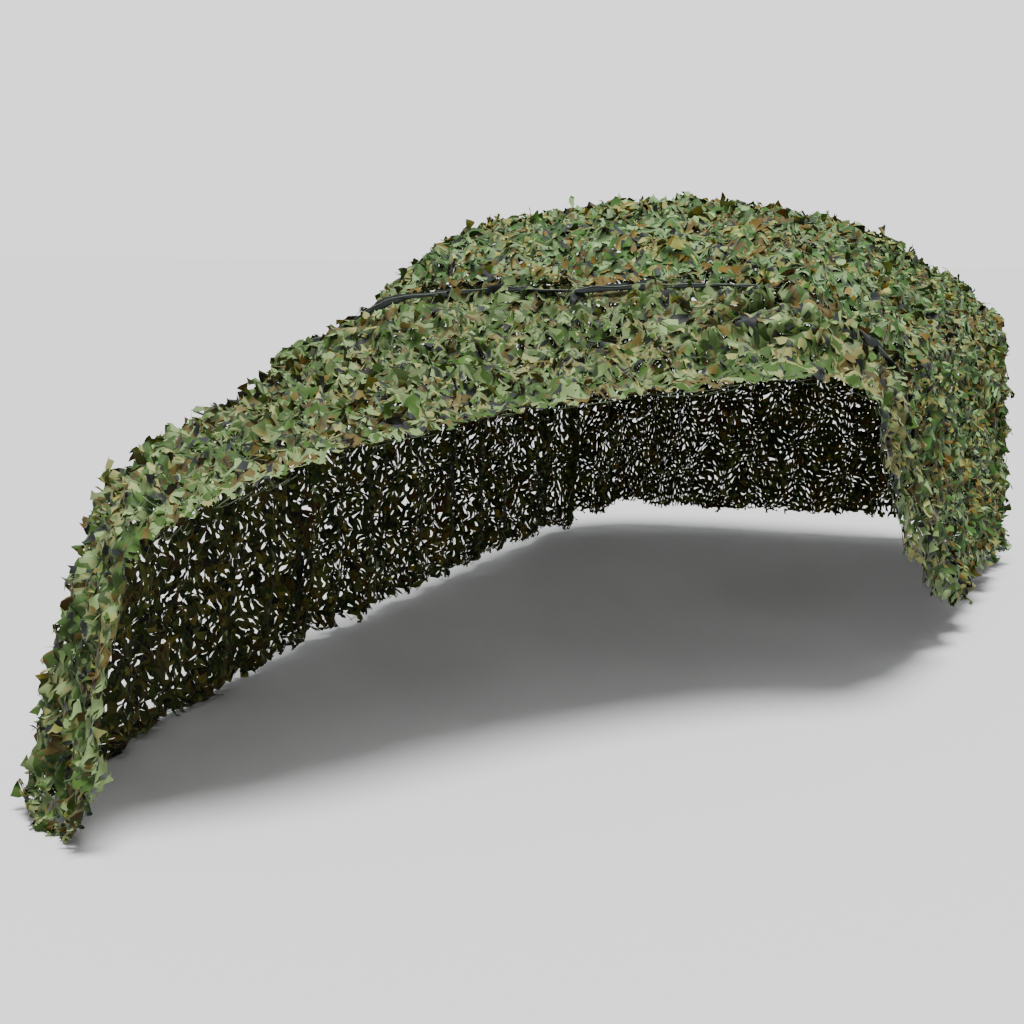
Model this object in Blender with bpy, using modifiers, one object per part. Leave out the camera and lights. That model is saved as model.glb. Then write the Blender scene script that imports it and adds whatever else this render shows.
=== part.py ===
"""Camouflage net lying as a hollow cover: two leaf-cut cloth panels and the tape that joins them.

The net is laid out flat first. A point of the flat net is (p, q): p runs across it from the middle
line, positive to the left hem, and q runs along it from the front of the covered form to the rear.
The drape then carries each flat point to where the cloth hangs. Over the top it follows the form's
cross sections, past the shoulder it hangs down, and what is left lies on the floor.

Floor frame while modelling: +X to the left hem, +Y to the rear, +Z up, floor at z = 0.
Row frame of the finished part: the same axes, with the origin under the crown, where it is held.
Metres throughout.
"""

import math

import bmesh
import bpy
import numpy as np

# ------------------------------------------------------------------ driving sizes
SHEET = 0.003  # cloth thickness
PIECE_GAP = 0.0008  # between the tape and the panels that it joins
HOLD_Y = 2.85  # where the crown is held, from the front of the form

TAPE_WIDTH = 0.060
TAPE_THICK = 0.004
TAPE_SHOWS = 0.020  # width of the tape that shows between the two panel edges
TAPE_ROLL = 0.008  # how far the rolled middle of the tape stands up between them
TAPE_COLUMNS = (2, -1)  # mesh columns of the panels that it runs along, so it ends short of the hems

# Cross sections of the form, front to rear: height of the middle line, half width and drop of the
# flat top, then half width and height of the shoulder.
SECTION_COLUMNS = ("y", "crown", "top_half", "top_drop", "side_half", "shoulder")
SECTIONS = (
    (0.04, 0.775, 0.42, 0.030, 0.58, 0.66),
    (0.30, 0.880, 0.56, 0.040, 0.74, 0.72),
    (0.80, 0.965, 0.66, 0.040, 0.895, 0.81),
    (1.35, 1.010, 0.70, 0.040, 0.945, 0.89),
    (1.62, 1.060, 0.72, 0.040, 0.96, 0.95),
    (1.95, 1.255, 0.66, 0.055, 0.965, 0.98),
    (2.25, 1.410, 0.62, 0.060, 0.97, 1.00),
    (2.75, 1.485, 0.61, 0.065, 0.97, 1.01),
    (3.25, 1.475, 0.63, 0.070, 0.97, 1.03),
    (3.70, 1.415, 0.67, 0.070, 0.965, 1.05),
    (4.30, 1.265, 0.71, 0.060, 0.95, 1.04),
    (4.75, 1.150, 0.70, 0.040, 0.90, 1.00),
    (4.86, 1.110, 0.66, 0.040, 0.84, 0.98),
)
SHOULDER_P = 1.08  # flat distance from the middle line to the shoulder
CORNER_R = 0.50  # radius, on the flat net, of the rounded corners of the shoulder line
HANG_FLARE = 0.05  # how far the hanging cloth stands out for each metre that it drops
FRONT_CORNER_FLARE = 0.16  # and how much more at the two front corners
REAR_CORNER_FLARE = 0.02  # and at the two rear ones
FLOOR_SPREAD = 0.55  # share of the surplus length that reaches outwards on the floor
SOFTEN = 2  # smoothing radius of the drape, in lattice steps
LATTICE = 0.025  # lattice step of the drape
LATTICE_P = 2.6  # the lattice reaches this far from the middle line
LATTICE_PAST_ENDS = 1.9  # and this far past the form's two ends
FLOOR_Z = 0.001  # the cloth's underside never goes below this

# Outlines on the flat net, from the left hem to the right.
FRONT_EDGE = (
    (1.96, 3.00), (1.87, 2.74), (1.73, 2.41), (1.58, 2.14), (1.36, 1.90), (1.17, 1.78), (0.98, 1.72),
    (0.84, 1.64), (0.72, 1.53), (0.59, 1.40), (0.37, 1.15), (0.17, 0.86), (0.00, 0.57), (-0.20, 0.31),
    (-0.37, 0.19), (-0.57, 0.08), (-0.76, -0.02), (-0.89, -0.14), (-0.95, -0.27), (-0.96, -0.39),
    (-0.94, -0.50),
)
JOIN_LINE = (
    (1.99, 3.28), (1.86, 3.10), (1.72, 2.90), (1.53, 2.62), (1.36, 2.38), (1.20, 2.20), (1.02, 2.11),
    (0.80, 2.08), (0.58, 2.07), (0.38, 2.05), (0.20, 2.01), (-0.06, 1.97), (-0.27, 1.98),
    (-0.53, 2.01), (-0.75, 2.00), (-1.08, 1.97), (-1.50, 2.02), (-2.06, 2.10),
)
FRONT_LEFT_HEM = ((1.96, 3.00), (1.98, 3.14), (1.99, 3.28))
FRONT_RIGHT_HEM = (
    (-0.94, -0.50), (-1.20, -0.54), (-1.49, -0.40), (-1.73, -0.09), (-1.88, 0.34), (-2.00, 0.90),
    (-2.05, 1.50), (-2.06, 2.10),
)
LEFT_HEM = ((1.99, 3.28), (1.99, 3.70), (2.03, 4.10), (2.06, 4.50), (2.00, 4.92), (1.62, 5.54))
REAR_HEM = ((1.62, 5.54), (1.00, 5.92), (0.40, 5.99), (-0.40, 6.00), (-1.00, 5.93), (-1.64, 5.56))
RIGHT_HEM = (
    (-2.06, 2.10), (-2.08, 3.00), (-2.10, 3.90), (-2.10, 4.50), (-2.04, 4.92), (-1.64, 5.56),
)

# Folds, each a soft ridge or, with a negative height, a trough between two points of the flat net:
# p and q of its first end, p and q of its last, half width, height.
FOLDS = (
    (0.30, 1.66, 1.00, 1.98, 0.150, 0.040),  # the bunch at the left end of the slope
    (0.40, 1.84, 0.70, 2.04, 0.034, 0.028),
    (0.52, 1.84, 0.86, 2.12, 0.030, -0.034),
    (0.60, 1.80, 0.90, 2.04, 0.034, 0.026),
    (0.40, 1.68, 0.68, 1.97, 0.030, -0.030),
    (0.68, 1.73, 0.96, 2.02, 0.030, -0.028),
    (0.54, 1.63, 0.76, 1.76, 0.032, -0.024),
    (0.62, 1.66, 0.94, 1.90, 0.034, 0.026),
    (-0.88, 1.76, -0.40, 1.66, 0.050, -0.034),  # trough across the right end of the slope
    (-0.80, 1.88, -0.30, 1.82, 0.060, 0.020),
    (-0.70, 1.52, -0.10, 1.30, 0.070, 0.018),
    (-0.90, 1.20, -0.30, 0.95, 0.060, -0.016),
    (-0.80, 0.85, -0.35, 0.45, 0.060, 0.020),
    (-0.95, 0.60, -0.60, 0.25, 0.050, -0.018),
    (-1.14, 0.15, -1.40, -0.02, 0.100, 0.026),  # where the cloth bulges at the hanging corner
    (-1.05, -0.02, -1.12, -0.40, 0.045, -0.022),
    (-1.12, 0.30, -0.90, -0.05, 0.045, -0.020),
    (-1.10, 1.93, -1.40, 1.96, 0.120, 0.070),  # tent over a bracket that stands out at the right
    (1.16, 2.02, 1.72, 2.66, 0.070, 0.030),  # roll along the left front edge
    (1.30, 2.30, 1.76, 2.96, 0.060, -0.030),  # crease behind it
    (0.62, 2.36, 1.40, 2.62, 0.075, 0.022),
    (0.80, 2.62, 1.35, 3.10, 0.080, 0.018),
    (-0.60, 2.30, 0.40, 2.26, 0.065, 0.018),
    (-1.05, 2.55, -0.50, 2.40, 0.070, 0.020),
    (-0.90, 3.30, -0.20, 3.45, 0.090, 0.014),
    (-1.30, 3.05, -0.80, 3.75, 0.080, 0.020),
    (0.20, 3.75, 0.95, 4.10, 0.080, 0.020),
    (-0.80, 4.15, 0.10, 4.20, 0.090, -0.018),
    (-0.40, 4.62, 0.70, 4.55, 0.070, 0.024),
    (0.70, 4.50, 1.30, 5.20, 0.080, 0.034),  # folds that fan out over the rear corners
    (0.90, 4.35, 1.55, 4.75, 0.075, 0.026),
    (-0.70, 4.55, -1.25, 5.25, 0.085, 0.034),
    (-0.90, 4.30, -1.60, 4.60, 0.075, 0.026),
)
SIDE_PLEAT = 0.022  # height of the upright folds of the hanging sides, at the hem
CORNER_PLEAT = 0.040  # and at the corners, where the cloth is in surplus
PLEAT_PITCH = 0.33  # along the shoulder line
CORNER_RUN = 0.95  # length that a corner's quarter turn adds to the shoulder line
WAVE = 0.009  # height of the slack over the top

ACROSS = 56  # mesh steps along the front edge, the join and the rear hem
FRONT_DEEP = 15  # mesh steps from the front edge to the join
MAIN_DEEP = 34  # mesh steps from the join to the rear hem
BOW_FADE = 3  # how fast a side hem's bow dies away across a panel

# The widest leaf gaps, staggered rows of lenses along the front edge, where the cloth is pulled flat.
GAP_ROWS = 7
GAP_LENGTH = 0.038
GAP_WIDTH = 0.016
GAP_RIM = 0.008  # cloth that is left round a gap in its cell
GAP_CELL_LENGTH = 0.062  # a cell takes a gap if it is at least this long
GAP_CELL_DEPTH = 0.042  # and this deep

MAIN_GREEN = (0.27, 0.35, 0.16, 1.0)
FRONT_GREEN = (0.33, 0.41, 0.20, 1.0)
TAPE_GREEN = (0.035, 0.05, 0.035, 1.0)


# ------------------------------------------------------------------ curves and tables
def column(table, columns, name):
    """One named column of a table."""
    return np.array([row[columns.index(name)] for row in table])


def smooth_curve(at, stations, values):
    """A curve through a table's points, smooth at each of them."""
    slopes = np.gradient(values, stations)
    index = np.clip(np.searchsorted(stations, at) - 1, 0, len(stations) - 2)
    span = stations[index + 1] - stations[index]
    t = (at - stations[index]) / span
    start = (2 * t**3 - 3 * t**2 + 1) * values[index] + (t**3 - 2 * t**2 + t) * span * slopes[index]
    end = (3 * t**2 - 2 * t**3) * values[index + 1] + (t**3 - t**2) * span * slopes[index + 1]
    return start + end


def line_at(points, fraction):
    """Points of a smooth line through a few flat points, at fractions of its length."""
    points = np.array(points)
    steps = np.hypot(*np.diff(points, axis=0).T)
    along = np.concatenate([[0.0], np.cumsum(steps)])
    at = fraction * along[-1]
    return np.stack([smooth_curve(at, along, points[:, axis]) for axis in (0, 1)], axis=-1)


SECTION_Y = column(SECTIONS, SECTION_COLUMNS, "y")
CROWN_Y = np.linspace(SECTION_Y[0], SECTION_Y[-1], 1200)
CROWN_Z = smooth_curve(CROWN_Y, SECTION_Y, column(SECTIONS, SECTION_COLUMNS, "crown"))
CROWN_Q = np.concatenate([[0.0], np.cumsum(np.hypot(np.diff(CROWN_Y), np.diff(CROWN_Z)))])
REAR_Q = CROWN_Q[-1]


# ------------------------------------------------------------------ drape
def over_the_form(p, q):
    """Where a flat point comes to lie on the form's top, inside the shoulder line."""
    y = np.interp(q, CROWN_Q, CROWN_Y)
    crown, top_half, top_drop, side_half, shoulder = (
        smooth_curve(y, SECTION_Y, column(SECTIONS, SECTION_COLUMNS, name))
        for name in SECTION_COLUMNS[1:]
    )
    flat_run = np.hypot(top_half, top_drop)
    slope_run = np.hypot(side_half - top_half, crown - top_drop - shoulder)
    run = np.abs(p) / SHOULDER_P * (flat_run + slope_run)
    on_top = np.clip(run / flat_run, 0.0, 1.0)
    on_slope = np.clip((run - flat_run) / slope_run, 0.0, 1.0)
    x = top_half * on_top + (side_half - top_half) * on_slope
    z = crown - top_drop * on_top**2 - (crown - top_drop - shoulder) * on_slope
    return np.stack([np.sign(p) * x, y, z], axis=-1)


def past_the_shoulder(p, q):
    """Offset of a flat point from the inner rectangle, and the rectangle's nearest point."""
    inner_p = np.clip(p, CORNER_R - SHOULDER_P, SHOULDER_P - CORNER_R)
    inner_q = np.clip(q, CORNER_R, REAR_Q - CORNER_R)
    return p - inner_p, q - inner_q, inner_p, inner_q


def hang(p, q):
    """The drape before smoothing: on the form, then straight down, then out over the floor."""
    off_p, off_q, inner_p, inner_q = past_the_shoulder(p, q)
    reach = np.hypot(off_p, off_q) + 1e-9
    pull_in = np.minimum(1.0, CORNER_R / reach)
    on_form = over_the_form(inner_p + off_p * pull_in, inner_q + off_q * pull_in)
    beyond = np.maximum(reach - CORNER_R, 0.0)
    drop = np.minimum(beyond, on_form[..., 2])
    corner = 2.0 * np.abs(off_p * off_q) / reach**2
    flare = HANG_FLARE + np.where(off_q < 0.0, FRONT_CORNER_FLARE, REAR_CORNER_FLARE) * corner
    out = flare * drop + FLOOR_SPREAD * (beyond - drop)
    x = on_form[..., 0] + off_p / reach * out
    y = on_form[..., 1] + off_q / reach * out
    return np.stack([x, y, on_form[..., 2] - drop], axis=-1)


def running_mean(values, radius, axis):
    """Mean over a window of 2 radius + 1 steps along one axis."""
    width = 2 * radius + 1
    pad = [(0, 0)] * values.ndim
    pad[axis] = (radius + 1, radius)
    total = np.cumsum(np.pad(values, pad, mode="edge"), axis=axis)
    size = total.shape[axis]
    upper = np.take(total, range(width, size), axis=axis)
    lower = np.take(total, range(0, size - width), axis=axis)
    return (upper - lower) / width


def soft_lattice():
    """The smoothed drape, sampled every LATTICE metres of the flat net."""
    lattice_p = np.arange(-LATTICE_P, LATTICE_P + LATTICE / 2, LATTICE)
    lattice_q = np.arange(-LATTICE_PAST_ENDS, REAR_Q + LATTICE_PAST_ENDS, LATTICE)
    points = hang(*np.meshgrid(lattice_p, lattice_q, indexing="ij"))
    for _ in range(3):
        points = running_mean(running_mean(points, SOFTEN, 0), SOFTEN, 1)
    return points


DRAPE = soft_lattice()


def drape(p, q):
    """Where a flat point of the net lies, without its folds."""
    i = np.clip((p + LATTICE_P) / LATTICE, 0, DRAPE.shape[0] - 1.001)
    j = np.clip((q + LATTICE_PAST_ENDS) / LATTICE, 0, DRAPE.shape[1] - 1.001)
    i0, j0 = i.astype(int), j.astype(int)
    u, v = (i - i0)[..., None], (j - j0)[..., None]
    near = DRAPE[i0, j0] * (1 - v) + DRAPE[i0, j0 + 1] * v
    far = DRAPE[i0 + 1, j0] * (1 - v) + DRAPE[i0 + 1, j0 + 1] * v
    return near * (1 - u) + far * u


def shoulder_run(p, q):
    """Position along the shoulder line, from the left front round the rear to the right front."""
    off_p, off_q, inner_p, inner_q = past_the_shoulder(p, q)
    turn = np.arctan2(off_q, np.abs(off_p) + 1e-9) / (math.pi / 2)
    side = inner_q + CORNER_RUN * turn
    half_rear = SHOULDER_P - CORNER_R
    behind = np.clip(turn, 0.0, 1.0) * (half_rear - np.abs(inner_p))
    around = side + behind
    rear_middle = REAR_Q - CORNER_R + CORNER_RUN + half_rear
    return np.where(p >= 0.0, around, 2.0 * rear_middle - around)


def pleats(p, q):
    """Upright folds of the hanging cloth, deepest at the hem and at the corners."""
    off_p, off_q, _, _ = past_the_shoulder(p, q)
    reach = np.hypot(off_p, off_q) + 1e-9
    hanging = np.clip((reach - CORNER_R - 0.05) / 0.75, 0.0, 1.0)
    corner = 2.0 * np.abs(off_p * off_q) / reach**2
    run = shoulder_run(p, q) / PLEAT_PITCH * 2 * math.pi
    wander = run + 1.3 * np.sin(run * 0.23 + 0.6) + 0.8 * np.sin(run * 0.41)
    uneven = 0.75 + 0.25 * np.sin(run * 0.31 + 2.0)
    return (SIDE_PLEAT + CORNER_PLEAT * corner) * hanging * uneven * np.cos(wander)


def folds(p, q):
    """Height of the folds placed by hand."""
    height = np.zeros_like(p)
    for p0, q0, p1, q1, half_width, top in FOLDS:
        along_p, along_q = p1 - p0, q1 - q0
        length = math.hypot(along_p, along_q)
        along = ((p - p0) * along_p + (q - q0) * along_q) / length**2
        aside = ((p - p0) * along_q - (q - q0) * along_p) / length
        past_end = np.maximum(np.abs(along - 0.5) - 0.5, 0.0) * length
        height = height + top * np.exp(-(aside**2 + past_end**2) / half_width**2)
    return height


def slack(p, q):
    """Low uneven waves of cloth that lies loose."""
    broad = np.sin(5.1 * p + 2.3 * q + 0.4) * np.sin(4.3 * q - 1.9 * p + 1.1)
    fine = np.sin(11.3 * p - 4.1 * q + 2.0) * np.sin(9.7 * q + 3.7 * p)
    return WAVE * (broad + 0.6 * fine)


def net_point(p, q):
    """Where a flat point of the net lies, with its folds, and the cloth's outward normal there."""
    step = 0.04
    ahead_p = drape(p + step, q) - drape(p - step, q)
    ahead_q = drape(p, q + step) - drape(p, q - step)
    normal = np.cross(ahead_p, ahead_q)
    normal = normal / np.linalg.norm(normal, axis=-1, keepdims=True)
    height = folds(p, q) + pleats(p, q) + slack(p, q)
    point = drape(p, q) + normal * height[..., None]
    lift = FLOOR_Z + 0.5 * np.maximum(height, 0.0) * np.clip(1.0 - point[..., 2] / 0.05, 0.0, 1.0)
    point[..., 2] = np.maximum(point[..., 2], lift)
    return point, normal


# ------------------------------------------------------------------ patches of the flat net
def patch(front, rear, left, right, row_fractions):
    """Flat points of a patch between four outlines, as a lattice of columns and rows.

    row_fractions turns a column's length into how far along it each row lies, from 0 to 1.
    """
    s = np.linspace(0.0, 1.0, ACROSS + 1)[:, None]
    front_line, rear_line = line_at(front, s), line_at(rear, s)
    t = row_fractions(np.linalg.norm(rear_line - front_line, axis=-1))
    straight = front_line + (rear_line - front_line) * t[..., None]
    left_bow = line_at(left, t) - front_line[0] - (rear_line[0] - front_line[0]) * t[..., None]
    right_bow = line_at(right, t) - front_line[-1] - (rear_line[-1] - front_line[-1]) * t[..., None]
    left_share, right_share = (1 - s[..., None]) ** BOW_FADE, s[..., None] ** BOW_FADE
    return straight + left_bow * left_share + right_bow * right_share


def front_rows(length):
    """Rows from the front edge to the tape's edge, and one more at the panel's own edge."""
    tape = TAPE_WIDTH / 2 / length
    even = np.linspace(0.0, 1.0, FRONT_DEEP + 1) * (1.0 - tape)
    return np.concatenate([even, 1.0 - TAPE_SHOWS / 2 / length], axis=1)


def main_rows(length):
    """A row at the panel's own edge, then rows from the tape's edge to the rear hem."""
    tape = TAPE_WIDTH / 2 / length
    even = tape + np.linspace(0.0, 1.0, MAIN_DEEP + 1) * (1.0 - tape)
    return np.concatenate([TAPE_SHOWS / 2 / length, even], axis=1)


def front_patch():
    """Flat lattice of the front panel."""
    return patch(FRONT_EDGE, JOIN_LINE, FRONT_LEFT_HEM, FRONT_RIGHT_HEM, front_rows)


def main_patch():
    """Flat lattice of the main panel."""
    return patch(JOIN_LINE, REAR_HEM, LEFT_HEM, RIGHT_HEM, main_rows)


# ------------------------------------------------------------------ meshes
def cut_gap(bm, face):
    """Cut one leaf gap through the middle of a cell, its long side along the front edge."""
    centre = face.calc_center_median()
    corners = [vert.co.copy() for vert in face.verts]
    one_way = (corners[1] - corners[0] + corners[2] - corners[3]) / 2
    other_way = (corners[3] - corners[0] + corners[2] - corners[1]) / 2
    half_one, half_other = GAP_WIDTH / 2, GAP_LENGTH / 2
    if one_way.length > other_way.length:
        half_one, half_other = half_other, half_one
    one_way = one_way.normalized() * half_one
    other_way = other_way.normalized() * half_other
    bmesh.ops.inset_individual(bm, faces=[face], thickness=GAP_RIM)
    for vert, (one_sign, other_sign) in zip(face.verts, ((-1, -1), (1, -1), (1, 1), (-1, 1))):
        vert.co = centre + one_way * one_sign + other_way * other_sign
    bmesh.ops.delete(bm, geom=[face], context="FACES")


def lattice_mesh(name, points, gap_cells=()):
    """A flat grid primitive, laid on a lattice of points, with a leaf gap in each chosen cell."""
    across, deep = points.shape[0] - 1, points.shape[1] - 1
    bm = bmesh.new()
    bmesh.ops.create_grid(bm, x_segments=across, y_segments=deep, size=0.5)
    cells = {}
    for face in bm.faces:
        middle = face.calc_center_median()
        cells[int((middle.x + 0.5) * across), int((middle.y + 0.5) * deep)] = face
    for vert in bm.verts:
        vert.co = points[round((vert.co.x + 0.5) * across), round((vert.co.y + 0.5) * deep)]
    bmesh.ops.reverse_faces(bm, faces=bm.faces)  # the outlines run left to right, so these faced in
    bm.normal_update()
    for cell in gap_cells:
        cut_gap(bm, cells[cell])
    mesh = bpy.data.meshes.new(name)
    bm.to_mesh(mesh)
    bm.free()
    return mesh


def sheet_object(mesh, collection, material, thickness, side):
    """A cloth piece: its open mesh with Solidify, outwards for side 1 and inwards for -1."""
    mesh.materials.append(material)
    mesh.shade_smooth()
    sheet = bpy.data.objects.new(mesh.name, mesh)
    collection.objects.link(sheet)
    solidify = sheet.modifiers.new("thickness", "SOLIDIFY")
    solidify.thickness = thickness
    solidify.offset = side
    return sheet


def plain_material(name, colour, roughness):
    """A Principled material of one colour."""
    material = bpy.data.materials.new(name)
    material.use_nodes = True
    shader = material.node_tree.nodes["Principled BSDF"]
    shader.inputs["Base Color"].default_value = colour
    shader.inputs["Roughness"].default_value = roughness
    shader.inputs["Metallic"].default_value = 0.0
    return material


def wide_cells(points):
    """Staggered cells near the front edge that are large enough to take a leaf gap."""
    wide = np.linalg.norm(np.diff(points, axis=0), axis=-1)
    deep = np.linalg.norm(np.diff(points, axis=1), axis=-1)
    return [
        (across, row)
        for row in range(GAP_ROWS)
        for across in range(1 + row % 2, ACROSS - 1, 2)
        if wide[across, row] > GAP_CELL_LENGTH and deep[across, row] > GAP_CELL_DEPTH
    ]


def build_front_panel(collection, material):
    """The cloth in front of the join, with its free slanting edge and the widest leaf gaps."""
    flat = front_patch()
    points, _ = net_point(flat[..., 0], flat[..., 1])
    mesh = lattice_mesh("front_panel", points, wide_cells(points))
    return sheet_object(mesh, collection, material, SHEET, 1.0)


def build_main_panel(collection, material):
    """The cloth from the join over the crown to the rear and side hems."""
    flat = main_patch()
    points, _ = net_point(flat[..., 0], flat[..., 1])
    return sheet_object(lattice_mesh("main_panel", points), collection, material, SHEET, 1.0)


def build_join_tape(collection, material):
    """The tape under both panel edges, with its rolled middle standing up between them."""
    kept = slice(*TAPE_COLUMNS)
    front, rear = front_patch()[kept, -2:], main_patch()[kept, :2]
    middle = (front[:, -1:] + rear[:, :1]) / 2
    flat = np.concatenate([front, middle, rear], axis=1)
    points, normals = net_point(flat[..., 0], flat[..., 1])
    rise = np.full(flat.shape[1], -PIECE_GAP)
    rise[2] = TAPE_ROLL
    points = points + normals * rise[None, :, None]
    mesh = lattice_mesh("join_tape", points)
    return sheet_object(mesh, collection, material, TAPE_THICK, -1.0)


def clear_scene():
    """Start from an empty scene."""
    for item in list(bpy.data.objects):
        bpy.data.objects.remove(item, do_unlink=True)


def main():
    """Build the net and set it in the row frame."""
    clear_scene()
    collection = bpy.data.collections.new("camouflage_net")
    bpy.context.scene.collection.children.link(collection)
    pieces = (
        build_main_panel(collection, plain_material("main_cloth", MAIN_GREEN, 0.75)),
        build_front_panel(collection, plain_material("front_cloth", FRONT_GREEN, 0.75)),
        build_join_tape(collection, plain_material("join_tape", TAPE_GREEN, 0.85)),
    )
    hold = bpy.data.objects.new("hold_point", None)
    collection.objects.link(hold)
    hold_q = np.interp(HOLD_Y, CROWN_Y, CROWN_Q)
    crown, _ = net_point(np.array([0.0]), np.array([hold_q]))
    hold.location = (0.0, -float(crown[0, 1]), -float(crown[0, 2]))
    for piece in pieces:
        piece.parent = hold


main()
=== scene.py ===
"""Looks of the camouflage net: leaf-cut printed cloth, its backing twine and the join's tape.

The net is laid out flat first, as in the part's source. A flat point is (p, q): p runs across the
net from the middle line to the left hem, q along it from the front to the rear. The drape carries
each flat point to where the cloth hangs. The leaf slits are cut on the flat net: each of its tiles
has one or two flaps, free on three sides, which bend and curl out of the sheet.
Metres throughout, in the row's frame.
"""

import logging
import math
from collections.abc import Callable
from dataclasses import dataclass
from enum import Enum

import bpy
import numpy as np
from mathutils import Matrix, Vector


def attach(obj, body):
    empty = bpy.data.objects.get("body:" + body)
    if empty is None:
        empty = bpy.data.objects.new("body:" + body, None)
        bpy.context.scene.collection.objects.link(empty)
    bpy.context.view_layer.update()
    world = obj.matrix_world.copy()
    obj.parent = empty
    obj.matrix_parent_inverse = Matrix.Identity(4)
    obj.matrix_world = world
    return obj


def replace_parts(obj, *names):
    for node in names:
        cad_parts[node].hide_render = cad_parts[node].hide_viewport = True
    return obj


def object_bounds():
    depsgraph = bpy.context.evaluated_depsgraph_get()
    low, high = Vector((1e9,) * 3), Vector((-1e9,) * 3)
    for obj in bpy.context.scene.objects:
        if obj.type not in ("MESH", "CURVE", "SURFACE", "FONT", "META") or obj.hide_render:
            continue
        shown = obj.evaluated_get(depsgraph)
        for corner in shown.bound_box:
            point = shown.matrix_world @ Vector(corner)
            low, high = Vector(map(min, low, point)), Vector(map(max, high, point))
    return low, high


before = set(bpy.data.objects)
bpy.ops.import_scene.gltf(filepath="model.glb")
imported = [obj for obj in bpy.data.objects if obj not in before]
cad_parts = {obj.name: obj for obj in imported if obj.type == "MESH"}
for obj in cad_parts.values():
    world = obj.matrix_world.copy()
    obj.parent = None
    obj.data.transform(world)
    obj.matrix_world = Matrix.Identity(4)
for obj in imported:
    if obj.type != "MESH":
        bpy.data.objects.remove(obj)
CAD_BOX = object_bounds()

Array = np.ndarray
Pair = tuple[float, float]
Colour = tuple[float, float, float, float]
FlatLine = tuple[Pair, ...]

LOG = logging.getLogger("camouflage_net")
FLOOR_Z = -1.4925  # height of the ground in the row's frame
# least height over it of the smooth net, of the slit sheet and the twine, and of flaps and tape
NET_CLEAR, SHEET_CLEAR, FLAP_CLEAR = 0.002, 0.0015, 0.001


class Hinge(Enum):
    """The side of its cell block on which a leaf flap stays joined to the net."""

    FRONT = "front"
    REAR = "rear"
    RIGHT = "right"
    LEFT = "left"


# ------------------------------------------------------------------ outlines on the flat net
FRONT_EDGE: FlatLine = (
    (1.96, 3.00), (1.87, 2.74), (1.73, 2.41), (1.58, 2.14), (1.36, 1.90), (1.17, 1.78),
    (0.98, 1.72), (0.84, 1.64), (0.72, 1.53), (0.59, 1.40), (0.37, 1.15), (0.17, 0.86),
    (0.00, 0.57), (-0.20, 0.31), (-0.37, 0.19), (-0.57, 0.08), (-0.76, -0.02), (-0.89, -0.14),
    (-0.95, -0.27), (-0.96, -0.39), (-0.94, -0.50),
)
JOIN_LINE: FlatLine = (
    (1.99, 3.28), (1.86, 3.10), (1.72, 2.90), (1.53, 2.62), (1.36, 2.38), (1.20, 2.20),
    (1.02, 2.11), (0.80, 2.08), (0.58, 2.07), (0.38, 2.05), (0.20, 2.01), (-0.06, 1.97),
    (-0.27, 1.98), (-0.53, 2.01), (-0.75, 2.00), (-1.08, 1.97), (-1.50, 2.02), (-2.06, 2.10),
)
FRONT_LEFT_HEM: FlatLine = ((1.96, 3.00), (1.98, 3.14), (1.99, 3.28))
FRONT_RIGHT_HEM: FlatLine = (
    (-0.94, -0.50), (-1.20, -0.54), (-1.49, -0.40), (-1.73, -0.09), (-1.88, 0.34), (-2.00, 0.90),
    (-2.05, 1.50), (-2.06, 2.10),
)
LEFT_HEM: FlatLine = (
    (1.99, 3.28), (1.99, 3.70), (2.03, 4.10), (2.06, 4.50), (2.00, 4.92), (1.62, 5.54),
)
REAR_HEM: FlatLine = (
    (1.62, 5.54), (1.00, 5.92), (0.40, 5.99), (-0.40, 6.00), (-1.00, 5.93), (-1.64, 5.56),
)
RIGHT_HEM: FlatLine = (
    (-2.06, 2.10), (-2.08, 3.00), (-2.10, 3.90), (-2.10, 4.50), (-2.04, 4.92), (-1.64, 5.56),
)


def smooth_curve(at: Array, stations: Array, values: Array) -> Array:
    """A curve through a table's points, smooth at each of them.

    Args:
        at: Where to read the curve.
        stations: The table's first column, rising.
        values: The table's second column.

    Returns:
        The curve's values.
    """
    slopes = np.gradient(values, stations)
    index = np.clip(np.searchsorted(stations, at) - 1, 0, len(stations) - 2)
    span = stations[index + 1] - stations[index]
    t = (at - stations[index]) / span
    start = (2 * t**3 - 3 * t**2 + 1) * values[index] + (t**3 - 2 * t**2 + t) * span * slopes[index]
    end = (3 * t**2 - 2 * t**3) * values[index + 1] + (t**3 - t**2) * span * slopes[index + 1]
    return start + end


def line_at(points: FlatLine, fraction: Array) -> Array:
    """Points of a smooth line through a few flat points.

    Args:
        points: The flat points.
        fraction: Fractions of the line's length, from 0 to 1.

    Returns:
        One flat point for each fraction.
    """
    table = np.array(points)
    along = np.concatenate([[0.0], np.cumsum(np.hypot(*np.diff(table, axis=0).T))])
    return np.stack(
        [smooth_curve(fraction * along[-1], along, table[:, axis]) for axis in (0, 1)], axis=-1
    )


def closed_outline(*lines: tuple[FlatLine, bool]) -> Array:
    """A panel's outline as one polygon.

    Args:
        lines: Each side of the panel, and whether it is run backwards.

    Returns:
        The polygon's corners in order.
    """
    sides = []
    for points, backwards in lines:
        side = line_at(points, np.linspace(0.0, 1.0, 90))
        sides.append(side[::-1][:-1] if backwards else side[:-1])
    return np.concatenate(sides)


def inside(outline: Array, p: Array, q: Array) -> Array:
    """Which flat points lie in a polygon."""
    hit = np.zeros(p.shape, dtype=bool)
    for (p0, q0), (p1, q1) in zip(outline, np.roll(outline, -1, axis=0)):
        if q0 == q1:
            continue
        crosses = (q0 > q) != (q1 > q)
        hit ^= crosses & (p < (p1 - p0) * (q - q0) / (q1 - q0) + p0)
    return hit


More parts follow.
